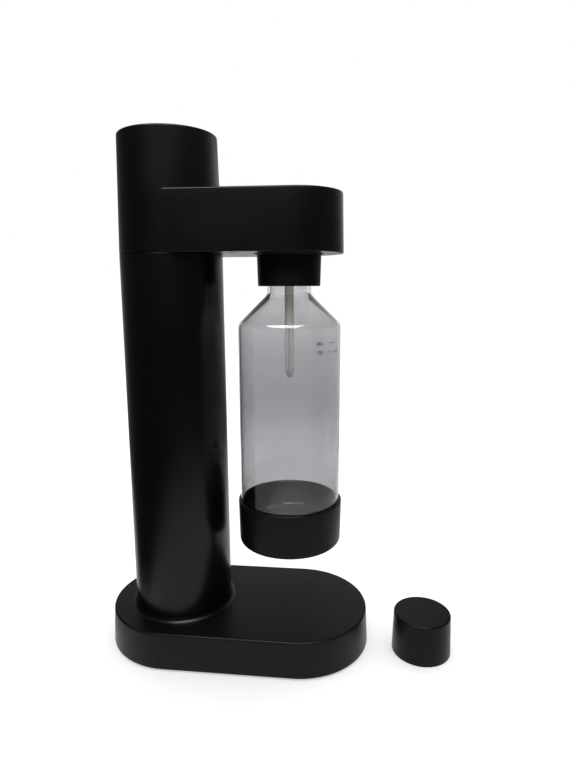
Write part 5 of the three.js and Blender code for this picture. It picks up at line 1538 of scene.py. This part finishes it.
    def panels(self):
        """A bright panel overhead, and the dark distance above the table.

        Rounded edges mirror the panel, and the bottle's thick shoulder bends the distance into view.
        """
        bright = self.cloth("lit panel", (1.0, 1.0, 1.0), 10.0)
        half, front, back, height, thick = 0.45, -0.8, -0.22, 0.98, 0.01
        outline = np.array([(-half, front), (half, front), (half, back), (-half, back)])
        panel = prism("ceiling_panel", outline, height, height + thick, MM)
        panel.data.materials.append(bright)
        self.only_mirrored(panel, through=True)
        dark = self.cloth("dark wall", (0.03, 0.03, 0.032), 1.0)
        reach, outer, foot, top = 1.5, 1.52, 0.62, 2.6
        far = revolved("dark_distance", [
            (reach, foot), (outer, foot), (outer, top), (reach, top), (reach, foot)])
        far.data.materials.append(dark)
        self.only_mirrored(far, through=True)
        far.visible_glossy = False

    def cloth(self, name, tone, strength):
        """A glowing cloth whose weave shows as a faint unevenness."""
        material, tree = new_material(name)
        fibres = object_noise(tree, 20 * MM, 2.0)
        glow = add_node(tree, "ShaderNodeEmission", inputs={
            "Color": tinted(tree, tone, 0.1, fibres), "Strength": strength})
        close_material(tree, glow)
        return material

    def lamp(self, scene):
        """A soft box overhead, for the shadows on the table."""
        place, aim = Vector((0.1, 0.2, 1.6)), Vector((0.1, 0.0, 0.2))
        data = bpy.data.lights.new("overhead_box", "AREA")
        data.shape = "RECTANGLE"
        data.size = 1.2
        data.size_y = 0.8
        data.energy = 6
        lamp = bpy.data.objects.new("overhead_box", data)
        lamp.location = place
        lamp.rotation_euler = (aim - place).to_track_quat("-Z", "Y").to_euler()
        lamp.visible_camera = False
        lamp.visible_transmission = False
        lamp.visible_glossy = False
        scene.collection.objects.link(lamp)


class WATERMAKER_PT_panel(bpy.types.Panel):
    """Lists the pieces and the stage"""

    bl_idname = "WATERMAKER_PT_panel"
    bl_label = "Sparkling water maker"
    bl_space_type = "VIEW_3D"
    bl_region_type = "UI"
    bl_category = "Water maker"

    def draw(self, context):
        column = self.layout.column(align=True)
        for operator in OPERATORS:
            column.operator(operator.bl_idname)
        for group in ("water_maker_sizes", "water_maker_colours", "water_maker_stage"):
            settings = getattr(context.scene, group)
            box = self.layout.box()
            for name in settings.__annotations__:
                box.prop(settings, name)


OPERATORS = (
    WATERMAKER_OT_stage,
    WATERMAKER_OT_base,
    WATERMAKER_OT_tower,
    WATERMAKER_OT_head,
    WATERMAKER_OT_button,
    WATERMAKER_OT_collar,
    WATERMAKER_OT_nozzle,
    WATERMAKER_OT_bottle,
    WATERMAKER_OT_cup,
    WATERMAKER_OT_cap,
    WATERMAKER_OT_works,
)
CLASSES = (WaterMakerSizes, WaterMakerColours, WaterMakerStage, *OPERATORS, WATERMAKER_PT_panel)


def register():
    """Registers the classes and hangs the settings on the scene."""
    for cls in CLASSES:
        bpy.utils.register_class(cls)
    bpy.types.Scene.water_maker_sizes = bpy.props.PointerProperty(type=WaterMakerSizes)
    bpy.types.Scene.water_maker_colours = bpy.props.PointerProperty(type=WaterMakerColours)
    bpy.types.Scene.water_maker_stage = bpy.props.PointerProperty(type=WaterMakerStage)


def unregister():
    """Takes the settings and the classes away again."""
    del bpy.types.Scene.water_maker_stage
    del bpy.types.Scene.water_maker_colours
    del bpy.types.Scene.water_maker_sizes
    for cls in reversed(CLASSES):
        bpy.utils.unregister_class(cls)


def main():
    register()
    for operator in OPERATORS:
        module, name = operator.bl_idname.split(".")
        getattr(getattr(bpy.ops, module), name)()
    bpy.context.view_layer.update()


if __name__ == "__main__":
    main()
